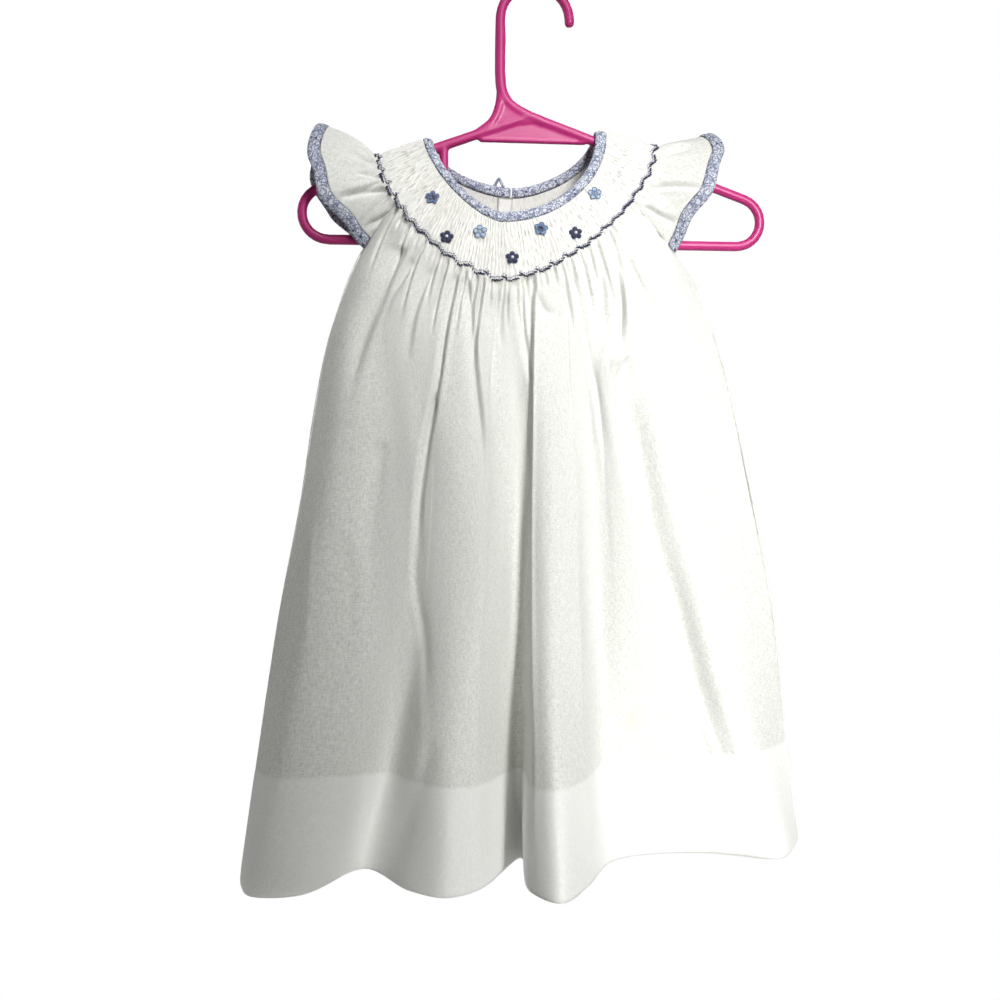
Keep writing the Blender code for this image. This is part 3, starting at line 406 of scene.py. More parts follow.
# ---- listed folds of the cloth
# A crease runs down the cloth along (x, z) points. depth: of its trough, below 0 a crest;
# left, right: half the trough's width on each side; ridge: the soft ridge on its right (+) or
# left (-).
Crease = namedtuple("Crease", "name depth left right ridge route")
FRONT_CREASES = table(Crease, [
    ("F1", 3.5, 8.0, 3.0, 0.8, [
        (-84, -170), (-94, -190), (-103, -212), (-110.5, -231), (-117, -254), (-122.3, -279)]),
    ("F2_top", 3.5, 2.0, 1.6, 1.2, [
        (-52, -186), (-59.7, -221), (-64.7, -255), (-71.2, -289)]),
    ("F2", 4.4, 2.0, 2.6, -0.25, [
        (-66, -262), (-71.2, -289), (-76.4, -328), (-77.6, -362), (-79.5, -378)]),
    ("F2_low", 1.8, 1.8, 4.0, 0, [
        (-78.5, -362), (-79, -378), (-74.1, -408), (-72.5, -430), (-72, -470)]),
    ("F3", 2.6, 4.0, 1.8, 0.7, [(-77, -178), (-86, -192), (-94.5, -206), (-99, -222)]),
    ("F3b", 2.2, 3.5, 1.6, 0.6, [(-66, -184), (-74, -200), (-80, -220), (-83, -245)]),
    ("F4", 3.2, 1.2, 3.0, 0, [(-18.6, -191), (-15.4, -214), (-11.6, -243), (-9.0, -262)]),
    ("V1", 5.0, 9.0, 1.1, 1.0, [
        (-4.6, -187), (-6.4, -204), (-7.6, -247), (-8.8, -327), (-10.6, -412), (-12.6, -503),
        (-13.6, -556)]),
    ("F5", -1.3, 9.0, 2.6, 0, [
        (-35.2, -215), (-35.5, -256), (-35.8, -327), (-39.5, -393), (-43.9, -450), (-46, -500)]),
    ("F5b", 2.6, 4.0, 1.5, 0.8, [
        (-46.6, -188), (-44, -217), (-41.5, -255), (-37.9, -290), (-36, -330)]),
    ("F6", 2.3, 1.3, 1.8, 0.7, [(-27.9, -190), (-28.6, -222), (-31.8, -254), (-34.6, -276)]),
    ("lobe_line", -1.1, 9.0, 2.4, 0, [
        (15.1, -205), (15.6, -265), (18.8, -320), (19.6, -399), (19.6, -445), (21.4, -500),
        (24, -540)]),
    ("lobe_thin", 1.6, 1.0, 1.0, 0, [(14.6, -190), (15.1, -220), (15.8, -262), (18.8, -318)]),
    ("F7", 2.6, 1.3, 3.0, -0.6, [
        (20.2, -186), (26.3, -229), (32.2, -257), (36.9, -292), (40.1, -322)]),
    ("F8", 2.0, 1.2, 2.2, 0.5, [(37.3, -179), (37.8, -203), (40, -228)]),
    ("F9", 4.1, 6.0, 1.3, 0.8, [
        (47.9, -174), (50.1, -203), (50.5, -235), (53.3, -245), (52.1, -252)]),
    ("hook", 3.5, 4.0, 1.5, -0.8, [(54.6, -238), (54.0, -247), (49, -254), (43, -256)]),
    ("diagonal", 5.4, 1.3, 10.0, -0.8, [
        (41.0, -240), (43.2, -255), (49.7, -271), (57.3, -291), (63.9, -342), (66.3, -360),
        (75.7, -381), (85.4, -413), (95.5, -445), (106.1, -472), (117.8, -500), (125.5, -552)]),
    ("F10", 3.0, 5.0, 1.4, 0.6, [
        (54.1, -172), (63, -192), (71.1, -203), (75.6, -214), (76, -232)]),
    ("right_soft", 2.2, 5.0, 9.0, 0, [(78.6, -201), (80, -234), (82, -277), (90.2, -314)]),
    ("puff", 2.7, 2.0, 2.4, 0, [
        (-2.6, -199), (-0.5, -208), (4.5, -212.5), (10, -210.5), (13.5, -202)]),
    ("left_fall", 3.0, 9.0, 4.0, 0.5, [
        (-121, -350), (-117, -385), (-119, -410), (-130, -446), (-141, -469)]),
    ("left_line", -1.2, 6.0, 2.0, 0, [(-139, -340), (-142, -390), (-144.5, -440)]),
    ("left_soft", 1.8, 8.0, 5.0, 0, [(-98, -290), (-106, -350), (-108, -410)]),
    ("hem_left", 1.8, 9.0, 4.0, 0, [(-108, -485), (-114, -520), (-118, -548)]),
    ("hem_second", 2.0, 4.0, 7.0, 0, [(-70, -470), (-80, -505), (-92, -548)]),
    ("hem_dent", -0.8, 6.0, 4.0, 0, [(-56, -490), (-60, -520), (-62, -550)]),
    ("panel_soft", 1.1, 9.0, 9.0, 0, [(62, -390), (72, -430), (76, -500)]),
])
BACK_CREASES = table(Crease, [
    ("B1", 2.2, 3.0, 7.0, -0.8, [(-80, -170), (-97, -206), (-108, -240), (-116, -276)]),
    ("B2", 3.6, 1.7, 5.0, 0.9, [
        (-46, -168), (-56, -215), (-63, -262), (-70, -320), (-76, -392)]),
    ("B3", 1.9, 1.5, 2.5, -0.7, [(-27, -166), (-30, -215), (-34, -268)]),
    ("B4", 3.4, 1.3, 8.0, 0.8, [
        (4, -170), (7, -220), (11, -290), (14, -380), (17, -470), (19, -540)]),
    ("B5", 1.7, 3.0, 1.4, -0.6, [(24, -166), (29, -210), (34, -262), (38, -300)]),
    ("B6", 3.8, 7.0, 1.4, 0.8, [
        (44, -160), (54, -210), (66, -270), (78, -335), (90, -400), (104, -470), (112, -545)]),
    ("B7", 1.8, 4.5, 2.0, 0.7, [(66, -158), (80, -200), (92, -240), (100, -280)]),
    ("B8", 1.8, 8.0, 5.0, 0, [(-122, -350), (-124, -400), (-136, -460)]),
    ("B9", 1.6, 5.0, 8.0, 0, [(104, -350), (116, -410), (128, -470)]),
])
SLEEVE_CREASES = {-1: table(Crease, [
    ("S1", 2.2, 1.6, 2.6, 0.6, [(-100, -118), (-112, -112), (-124, -108)]),
    ("S2", 2.5, 2.6, 1.4, -0.7, [(-92, -134), (-106, -136), (-120, -139), (-130, -142)]),
    ("S3", 1.8, 1.4, 2.2, 0.5, [(-88, -146), (-100, -152), (-112, -158)]),
    ("S4", 1.7, 1.5, 1.5, 0.5, [(-98, -126), (-108, -124), (-117, -124)]),
]), 1: table(Crease, [
    ("S1", 3.4, 2.6, 1.6, 0.6, [(78, -106), (90, -102), (104, -100)]),
    ("S2", 3.8, 1.4, 2.6, -0.7, [(70, -130), (84, -128), (98, -129), (108, -131)]),
    ("S3", 2.8, 1.6, 2.2, 0.5, [(66, -140), (78, -146), (92, -152)]),
    ("S4", 2.6, 1.5, 1.5, 0.5, [(76, -118), (86, -115), (96, -114)]),
])}

# Gathers that leave the smocking of the front: x at the yoke's edge, depth, length
FRONT_GATHERS = [
    (-88.0, 1.0, 30), (-80.0, 1.1, 24), (-71.0, 1.3, 34), (-62.0, 1.2, 24), (-57.0, 1.5, 32),
    (-46.4, 1.3, 30), (-40.0, 1.3, 18), (-36.0, 1.5, 40), (-31.5, 1.0, 14), (-24.0, 1.3, 30),
    (-21.4, 1.1, 20), (-12.5, 1.2, 24), (-9.5, 1.0, 12), (1.5, 0.8, 8), (7.0, 0.8, 9),
    (12.0, 1.3, 30), (17.5, 1.1, 18), (23.5, 1.3, 30), (28.5, 1.0, 18), (33.3, 1.4, 36),
    (41.5, 1.2, 26), (44.6, 1.0, 16), (57.0, 1.2, 30), (62.0, 1.1, 22), (69.0, 1.0, 24),
]
GATHER_DEPTH = 2.2         # a gather is shown this many times as deep as its row says
GATHER_LENGTH = 1.3        # and this many times as long
GATHER_WIDTH = 0.85        # half the width of its trough
BACK_GATHER_PITCH = 7.0
CREASE_START = 6.0         # a crease sets in over this length, or over 0.2 of a short one
CREASE_END = 0.45          # and fades out over this share of its length
RIDGE_PLACE, RIDGE_WIDTH = 2.0, 1.2       # times the half width of its trough
FAN = 0.0062               # radians that a gather leans outwards for each mm beside FAN_CENTRE
FAN_CENTRE = -13.0
CRIMP_PITCH = 3.4          # the small gathers right under the stitches
CRIMP_WIDTH = 0.75
SMOCK_PLEATS = 54          # in each quarter of the way round the neck
PLEAT_HEIGHT = 0.95
SCALLOP_PITCH = 11.0
SCALLOP_DEPTH = 0.078      # share of the yoke's height between the scallops' tips and their bellies
ROW_GAP = 0.046            # between the two stitched rows, as a share of the yoke's height
STITCH_PITCH = 1.45
MARKS = ("hem", "smock", "stain")      # the cotton's point attributes
STAIN = (57, -464)         # x and z of the yellowish spot on the front
STAIN_SIZE = (5, 7)        # its half width and half height
HEM_LIFT = 0.35            # the turned hem stands out by this much
SEAM_LAP = 0.5             # neighbours run into each other by this much at their seams
OPENING_DOWN = 1.07        # the centre-back opening ends here, just below the yoke (1)
OPENING_GAP = -0.5         # the two backs stay apart by twice this along the opening
CENTRE_SEAM = [fold.name for fold in BACK_FOLDS].index("centre_seam")

PETAL_REACH = 2.75         # from the flower's middle to a petal's
PETAL_RADIUS = 1.45
# Half sizes of the flowers' stitches along, across and up
PAD = (2.15, 1.85, 0.6)    # a solid petal's padding
FILLING = (1.35, 1.35, 0.3)
RIM_STITCH = (0.68, 0.36, 0.42)
STAR_STITCH = (1.35, 0.3, 0.28)
WHITE_KNOT, SMALL_KNOT = (1.0, 1.0, 0.6), (0.6, 0.6, 0.45)
# A flower's colours: its petals' rims, the petals' inside (None: filled like the rim) and its
# star; turn: degrees
Flower = namedtuple("Flower", "x z petal inner star turn")
FLOWERS = table(Flower, [
    (-67.1, -139.7, "slate", "mid_blue", "navy", 4),
    (-58.5, -165.9, "navy", None, None, 10),
    (-38.1, -161.8, "pale_blue", "ice", None, -6),
    (-18.3, -178.1, "navy", None, None, 0),
    (-0.2, -159.2, "mid_blue", "pale_blue", "navy", 8),
    (21.7, -161.2, "navy", None, None, -8),
    (34.9, -134.8, "mid_pale", "ice", "pale_blue", -4),
])


# ---- mesh helpers
def unit_rows(vectors):
    """Each vector at length 1."""
    return vectors / np.maximum(np.linalg.norm(vectors, axis=-1, keepdims=True), 1e-9)


def shown(name, data):
    """A new object in the scene."""
    thing = bpy.data.objects.new(name, data)
    bpy.context.scene.collection.objects.link(thing)
    return thing


def mesh_piece(name, points, faces, material, uv=None, marks=None):
    """A smooth mesh that rides on the one body. marks: name to one number a point."""
    mesh = bpy.data.meshes.new(name)
    mesh.from_pydata((np.asarray(points) * MM).tolist(), [], faces)
    if uv is not None:
        layer = mesh.uv_layers.new(name="cloth")
        corner = np.zeros(len(mesh.loops), np.int32)
        mesh.loops.foreach_get("vertex_index", corner)
        layer.data.foreach_set("uv", np.asarray(uv, np.float32)[corner].ravel())
    for mark, values in (marks or {}).items():
        attribute = mesh.attributes.new(mark, "FLOAT", "POINT")
        attribute.data.foreach_set("value", np.asarray(values, np.float32))
    mesh.shade_smooth()
    mesh.materials.append(material)
    thing = shown(name, mesh)
    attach(thing, "root")
    return thing


def bridge(marks_a, row_a, marks_b, row_b):
    """Faces between two rows of point numbers whose marks both rise; counts may differ."""
    faces = []
    a = b = 0
    while a < len(row_a) - 1 or b < len(row_b) - 1:
        next_a = marks_a[a + 1] if a < len(row_a) - 1 else math.inf
        next_b = marks_b[b + 1] if b < len(row_b) - 1 else math.inf
        if abs(next_a - next_b) < 1e-6:
            faces.append((row_a[a], row_a[a + 1], row_b[b + 1], row_b[b]))
            a, b = a + 1, b + 1
        elif next_a < next_b:
            faces.append((row_a[a], row_a[a + 1], row_b[b]))
            a += 1
        else:
            faces.append((row_a[a], row_b[b + 1], row_b[b]))
            b += 1
    return faces


def grid_faces(rows, columns, start=0):
    """Quads of a grid whose points are numbered row by row from start."""
    number = start + np.arange(rows * columns).reshape(rows, columns)
    quads = np.stack([number[:-1, :-1], number[:-1, 1:], number[1:, 1:], number[1:, :-1]], axis=-1)
    return quads.reshape(-1, 4)


def lowest_near(lift, reach):
    """For each point the lowest lift within reach points along its row and its column."""
    for axis in (0, 1):
        margin = [(reach, reach) if k == axis else (0, 0) for k in (0, 1)]
        wide = np.pad(lift, margin, constant_values=math.inf)
        lift = np.lib.stride_tricks.sliding_window_view(wide, 2 * reach + 1, axis=axis).min(axis=-1)
    return lift


def kept(count, every):
    """Every so many numbers below count, and the last."""
    return np.unique(np.append(np.arange(0, count, every), count - 1))


def ring_quads(rings, sides):
    """Faces of a tube: its rings' points follow each other, sides to a ring."""
    return [(a + j, a + (j + 1) % sides, a + sides + (j + 1) % sides, a + sides + j)
            for a in range(0, (rings - 1) * sides, sides) for j in range(sides)]


def cloth_shell(name, middle, outward, lift, material, marks, laps=(SEAM_LAP, SEAM_LAP), every=3,
                thickness=CLOTH):
    """A thin closed wall round the grid middle: its outside follows lift, its inside is plainer.
    marks: any of the cotton's marks, 0 if left out; laps: how far the first and the last column
    run on past the grid; every: the inside keeps one row and column in so many."""
    rows, columns = lift.shape
    marks = {mark: marks.get(mark, 0 * lift) for mark in MARKS}
    normal = outward * unit_rows(np.cross(np.gradient(middle, axis=1), np.gradient(middle, axis=0)))
    middle = middle.copy()
    for end, beside, lap in ((0, 1, laps[0]), (-1, -2, laps[1])):
        middle[:, end] += unit_rows(middle[:, end] - middle[:, beside]) * lap
    outer = middle + normal * (lift + thickness / 2)[..., None]
    row_kept, column_kept = kept(rows, every), kept(columns, every)
    sunk = lowest_near(lift, every) - thickness / 2
    inner = (middle + normal * sunk[..., None])[np.ix_(row_kept, column_kept)]
    start = rows * columns
    quads = grid_faces(rows, columns).tolist()
    quads += grid_faces(len(row_kept), len(column_kept), start)[:, ::-1].tolist()
    outer_number = np.arange(start).reshape(rows, columns)
    inner_number = start + np.arange(inner.shape[0] * inner.shape[1]).reshape(inner.shape[:2])
    for end in (0, -1):
        for outside, inside, marks_kept in ((outer_number[end], inner_number[end], column_kept),
                                            (outer_number[:, end], inner_number[:, end], row_kept)):
            quads += bridge(np.arange(len(outside)), outside.tolist(), marks_kept, inside.tolist())
    widest = np.argmax(np.linalg.norm(np.diff(middle, axis=1), axis=2).sum(axis=1))
    uv = np.stack(np.meshgrid(lengths(middle[widest]), lengths(middle)), axis=-1) * MM
    both = [np.concatenate([value.reshape(-1), value[np.ix_(row_kept, column_kept)].reshape(-1)])
            for value in (uv[..., 0], uv[..., 1], *marks.values())]
    points = np.vstack([outer.reshape(-1, 3), inner.reshape(-1, 3)])
    return mesh_piece(name, points, quads, material, np.stack(both[:2], axis=1),
                      dict(zip(marks, both[2:])))


def crease_lift(middle, creases):
    """Troughs and ridges along the creases, at every point of the grid."""
    place = middle[..., [0, 2]].reshape(-1, 2)
    total = np.zeros(len(place))
    for crease in creases:
        route = np.pad(np.array(crease.route, float), ((0, 0), (0, 1)))
        fine = rounded(route, np.linspace(0, len(route) - 1, 3 * len(route)))[:, :2]
        reach = 3.2 * max(crease.left, crease.right) + 2
        near = np.all((place > fine.min(axis=0) - reach) & (place < fine.max(axis=0) + reach),
                      axis=1)
        spots = place[near]
        length = lengths(fine)
        best, aside, run = np.full(len(spots), 1e9), np.zeros(len(spots)), np.zeros(len(spots))
        for k, step in enumerate(np.diff(fine, axis=0)):
            away = spots - fine[k]
            part = np.clip((away @ step) / (step @ step), 0, 1)
            gap = away - part[:, None] * step
            distance = np.linalg.norm(gap, axis=1)
            closer = distance < best
            best = np.where(closer, distance, best)
            side = np.sign(step[0] * gap[:, 1] - step[1] * gap[:, 0])
            aside = np.where(closer, side * distance, aside)
            run = np.where(closer, length[k] + part * (length[k + 1] - length[k]), run)
        whole = length[-1]
        strength = fade(run / min(CREASE_START, 0.2 * whole)) * fade(
            (whole - run) / (CREASE_END * whole))
        spread = 0.8 + 0.4 * run / whole      # it widens on its way down
        wide = np.where(aside < 0, crease.left, crease.right) * spread
        lift = -crease.depth * bell(aside, wide)
        if crease.ridge:
            way = math.copysign(1, crease.ridge)
            beside = (crease.right if way > 0 else crease.left) * spread
            lift += abs(crease.ridge) * bell(aside * way - RIDGE_PLACE * beside,
                                             RIDGE_WIDTH * beside)
        total[near] += strength * lift
    return total.reshape(middle.shape[:2])


def gather(edge, x, depth, length, wide):
    """A gather as a crease: it leaves the yoke's edge fanwise and bends down."""
    z = np.interp(x, edge[:, 0], edge[:, 2])
    lean = FAN * (x - FAN_CENTRE)
    steps = np.linspace(0, 1, 5)
    leans = lean * (1.25 - 0.75 * steps)
    run = length / 4
    route = [(x - 1.5 * math.sin(leans[0]), z + 1.5)]
    for angle in leans:
        route.append((route[-1][0] + run * math.sin(angle), route[-1][1] - run * math.cos(angle)))
    return Crease("gather", depth, wide, wide * 1.25, 0.3 * depth, route)


def smocking(turns, way):
    """Height of the smocked pleats: neighbours lean to and fro in turn, as the rows of stitches
    hold them, and no two are quite alike."""
    pleat = turns * SMOCK_PLEATS
    waver = (0.20 * np.sin(math.pi * pleat) * np.cos(2 * math.pi * 5.3 * way)
             + 0.12 * np.sin(8.3 * way + 0.9 * pleat)
             + 0.08 * np.sin(23.0 * way - 1.7 * pleat + 1.0))
    ridge = (0.5 - 0.5 * np.cos(2 * math.pi * (pleat + waver)))**0.8
    uneven = (0.84 + 0.16 * np.sin(1.3 * pleat + 5 * way) + 0.12 * np.sin(0.37 * pleat - 9 * way)
              + 0.12 * np.sin(2.9 * pleat + 31 * way))
    rows = 0.84 + 0.16 * np.cos(2 * math.pi * way * 10.6 + 0.4 * np.sin(pleat))
    return PLEAT_HEIGHT * ridge * uneven * rows * np.clip(0.4 + 6 * way, 0, 1)


def column_gathers(middle, below, gathers):
    """Narrow folds down the grid's own columns, which widen and fade. gathers: column, depth,
    length."""
    columns = np.arange(middle.shape[1])
    lift = np.zeros(middle.shape[:2])
    pitch = np.linalg.norm(np.gradient(middle, axis=1), axis=2)
    for column, depth, length in gathers:
        aside = (columns[None, :] - column) * pitch
        width = 1.0 + 0.05 * below
        strength = depth * fade(below / 4) * np.exp(-(below / length)**1.5)
        lift += strength * (0.35 * bell(aside - 2.2 * width, 1.6 * width) - bell(aside, width))
    return lift


def undulation(share, below, seed):
    """Slow, low waves, so that no stretch of hanging cloth is quite flat."""
    a, b, c, d = np.random.default_rng(seed).uniform(0, 6.28, 4)      # where the waves start
    return (0.7 * np.sin(9.0 * share + below / 60 + a) * np.sin(below / 47 + b)
            + 0.4 * np.sin(21.0 * share - below / 35 + c) * np.sin(below / 29 + d))


# ---- materials
WARP_PITCH, WEFT_PITCH = 0.00055, 0.00060      # metres
SLUBS = [((2000, 330, 1), 2.0, 1.7), ((300, 1900, 1), 2.0, 9.1)]   # stretch, detail, seed


def nodes_of(name):
    """A new material and its node tree."""
    material = bpy.data.materials.new(name)
    material.use_nodes = True
    return material, material.node_tree


def plug(tree, node, inputs):
    """Set a node's inputs, each to another node's output or to a plain value."""
    for key, value in inputs.items():
        if isinstance(value, bpy.types.NodeSocket):
            tree.links.new(value, node.inputs[key])
        else:
            node.inputs[key].default_value = value
    return node


def add(tree, kind, inputs=None, **settings):
    """A new node of a kind, with its inputs and settings."""
    node = tree.nodes.new("ShaderNode" + kind)
    for key, value in settings.items():
        setattr(node, key, value)
    return plug(tree, node, inputs or {})


def maths(tree, operation, a, b=0.0, c=0.5, clamp=False):
    """The output of a maths node."""
    return add(tree, "Math", {0: a, 1: b, 2: c}, operation=operation, use_clamp=clamp).outputs[0]


def times(tree, a, b):
    return maths(tree, "MULTIPLY", a, b)


def mixed(tree, share, a, b):
    """Colour a, or b where share is 1."""
    return add(tree, "Mix", {0: share, 6: a, 7: b}, data_type="RGBA").outputs[2]


def noise(tree, scale, detail, **place):
    """A noise texture. place: its Vector, or nothing for the piece's own box."""
    return add(tree, "TexNoise", {"Scale": scale, "Detail": detail, **place})


def stretched_noise(tree, place, stretch, detail, seed=0):
    """Noise with a scale of its own along each axis; seed: where it is read."""
    moved = add(tree, "Mapping", {"Vector": place, "Scale": stretch, "Location": (seed,) * 3})
    return noise(tree, 1.0, detail, Vector=moved.outputs[0]).outputs[0]


def own_place(tree):
    """The piece's own coordinates in metres."""
    return add(tree, "TexCoord").outputs["Object"]


def dress_shader(tree, base, looks, height=None, strength=1.0, distance=0.001):
    """Set the shader's colour, plain looks and, from a height, its bump."""
    if height is not None:
        bump = add(tree, "Bump", {"Height": height, "Strength": strength, "Distance": distance})
        looks = {"Normal": bump.outputs[0], **looks}
    return plug(tree, tree.nodes["Principled BSDF"], {"Metallic": 0, "Base Color": base, **looks})


def threads(tree):
    """Height of a plain weave with slubs, from the cloth's own coordinates in metres."""
    uv = add(tree, "UVMap", uv_map="cloth").outputs[0]
    axes = add(tree, "SeparateXYZ", {0: uv}).outputs
    waves = [maths(tree, "SINE", times(tree, axes[k], 2 * math.pi / pitch))
             for k, pitch in enumerate((WARP_PITCH, WEFT_PITCH))]
    slub = maths(tree, "ADD", *(stretched_noise(tree, uv, *row) for row in SLUBS))
    return uv, maths(tree, "ADD", times(tree, times(tree, *waves), 0.22), slub), slub


def cotton():
    """White slub cotton. Its marks: the turned hem gets painted light that makes it whiter; the
    smocking is crinkled, with painted shade in its crinkles, and creamy.
    """
    material, tree = nodes_of("white_slub_cotton")
    uv, height, slub = threads(tree)
    hem, smock, stain = (add(tree, "Attribute", attribute_name=mark).outputs["Fac"]
                         for mark in MARKS)
    grain = maths(tree, "MULTIPLY", maths(tree, "SUBTRACT", slub, 0.68), 1.6, clamp=True)
    base = mixed(tree, grain, (0.60, 0.605, 0.568, 1), (0.86, 0.865, 0.83, 1))
    # Painted light: the turned hem is painted whiter, standing in for the doubled cloth that shows
    # less of the shade inside.
    base = mixed(tree, times(tree, hem, 0.6), base, (0.93, 0.93, 0.915, 1))
    base = mixed(tree, times(tree, smock, 0.55), base, (0.95, 0.955, 0.94, 1))
    # Painted shade: dark grey dashes in the smocking's crinkles; the same crinkles also sink the
    # bump.
    crinkle_and_painted_shade = maths(tree, "SUBTRACT", 0.49, stretched_noise(tree, uv, (560, 165, 1), 3.0))
    crinkle_and_painted_shade = times(tree, maths(tree, "MULTIPLY", crinkle_and_painted_shade, 7.5, clamp=True), smock)
    base = mixed(tree, times(tree, crinkle_and_painted_shade, 0.85), base, (0.36, 0.365, 0.335, 1))
    blotch = noise(tree, 38.0, 3.0).outputs[0]
    base = mixed(tree, times(tree, smock, times(tree, blotch, 0.4)), base, (0.86, 0.81, 0.69, 1))
    base = mixed(tree, times(tree, stain, times(tree, blotch, 0.6)), base, (0.72, 0.64, 0.40, 1))
    height = maths(tree, "SUBTRACT", height, times(tree, crinkle_and_painted_shade, 3.0))
    dress_shader(tree, base, {"Roughness": 0.88, "Specular IOR Level": 0.25, "Sheen Weight": 0.15},
                 height, 0.6, 0.00016)
    return material


def paisley():
    """Pale ground with fine slate-blue curls and scattered navy dots, all from noise."""
    material, tree = nodes_of("paisley_print")
    uv, height, _ = threads(tree)
    push = add(tree, "VectorMath", {0: noise(tree, 300.0, 1.0, Vector=uv).outputs["Color"],
                                    1: (0.5, 0.5, 0.5)}, operation="SUBTRACT")
    push = add(tree, "VectorMath", {0: push.outputs[0], "Scale": 0.0040}, operation="SCALE")
    bent = add(tree, "VectorMath", {0: uv, 1: push.outputs[0]}, operation="ADD").outputs[0]

    def cells(place, scale, randomness, feature="F1"):
        return add(tree, "TexVoronoi", {"Vector": place, "Scale": scale, "Randomness": randomness},
                   feature=feature).outputs["Distance"]
    curls = maths(tree, "SINE", times(tree, cells(bent, 310.0, 0.9), 17.0))
    outline = maths(tree, "LESS_THAN", cells(bent, 310.0, 0.9, "DISTANCE_TO_EDGE"), 0.06)
    line = maths(tree, "MAXIMUM", maths(tree, "GREATER_THAN", curls, 0.42), outline)
    dot = maths(tree, "LESS_THAN", cells(uv, 230.0, 1.0), 0.17)
    base = mixed(tree, times(tree, line, 0.85), (0.60, 0.63, 0.69, 1), (0.10, 0.12, 0.22, 1))
    base = mixed(tree, times(tree, dot, 0.9), base, (0.03, 0.035, 0.09, 1))
    dress_shader(tree, base, {"Roughness": 0.85}, height, 0.35, 0.00012)
    return material


def thread(name, colour):
    """Twisted embroidery floss, with painted shade in the grooves of its twist."""
    material, tree = nodes_of(name)
    twist_and_painted_shade = add(tree, "TexWave", {"Vector": own_place(tree), "Scale": 900.0, "Distortion": 3.0},
                bands_direction="DIAGONAL").outputs["Fac"]
    # Painted shade: the floss is darker in the grooves of its twist.
    base = mixed(tree, twist_and_painted_shade, tuple(0.72 * c for c in colour) + (1,), colour + (1,))
    dress_shader(tree, base, {"Roughness": 0.6, "Sheen Weight": 0.2}, twist_and_painted_shade, 0.5, 0.0001)
    return material


def plastic():
    """Glossy pink moulded plastic with faint flow marks and fine scuffs."""
    material, tree = nodes_of("pink_moulding")
    place = own_place(tree)
    flow = noise(tree, 22.0, 3.0, Vector=place).outputs[0]
    scuff = noise(tree, 420.0, 4.0, Vector=place).outputs[0]
    base = mixed(tree, flow, (0.43, 0.024, 0.155, 1), (0.56, 0.040, 0.225, 1))
    looks = {"Roughness": maths(tree, "MULTIPLY_ADD", scuff, 0.22, 0.26), "IOR": 1.49,
             "Specular IOR Level": 0.32, "Coat Weight": 0.06, "Coat Roughness": 0.12}
    dress_shader(tree, base, looks, flow, 0.12, 0.0006)
    return material


def pearl():
    """Cloudy, glossy button plastic."""
    material, tree = nodes_of("pearl_button")
    cloud = noise(tree, 300.0, 2.0, Vector=own_place(tree)).outputs[0]
    base = mixed(tree, cloud, (0.80, 0.79, 0.76, 1), (0.90, 0.88, 0.87, 1))
    dress_shader(tree, base, {"Roughness": 0.22, "Coat Weight": 0.3})
    return material


# ---- the panels
# How far down the shown cloth's rows lie: close together under the smocking, at the hem's seam
# and at its lower edge
YOKE_ROWS = np.linspace(-0.07, 1.0, 32)
SKIRT_ROWS = 1 + np.concatenate([np.linspace(0.004, 0.10, 26), np.linspace(0.106, 0.40, 42),
                                 np.linspace(0.408, 0.82, 40), np.linspace(0.826, 0.856, 9),
                                 np.linspace(0.866, 0.99, 11), [0.995, 1.0]])
COLUMNS_PER_PLEAT = 6.4
SMOCK_MIDDLE = 0.45        # share of the yoke's height where the smocking's look is fullest
SLEEVE_GATHERS = 22


def panel_gathers(edge, gathers, dice):
    """Creases for the gathers under a panel's smocking, scattered ones if it has no table, and
    for the crimps between them."""
    def scattered(first, last, pitch, shift, depths, runs):
        spots = np.arange(edge[0, 0] + first, edge[-1, 0] - last, pitch)
        return zip(spots + dice.uniform(-shift, shift, len(spots)),
                   dice.uniform(*depths, len(spots)), dice.uniform(*runs, len(spots)))
    if gathers is None:
        gathers = scattered(4, 3, BACK_GATHER_PITCH, 2.4, (0.9, 1.6), (14, 46))
    found = [gather(edge, x, GATHER_DEPTH * depth, GATHER_LENGTH * length, GATHER_WIDTH)
             for x, depth, length in gathers]
    crimps = scattered(1.5, 1.5, CRIMP_PITCH, 0.8, (0.9, 1.7), (6, 15))
    return found + [gather(edge, x, depth, length, CRIMP_WIDTH) for x, depth, length in crimps]


def smocked(way_grid, start):
    """How much of the smocking's look each place has: most at the middle of the yoke."""
    return np.clip(start - np.abs(way_grid - SMOCK_MIDDLE) * 1.4, 0, 1) * (way_grid < 1.02)


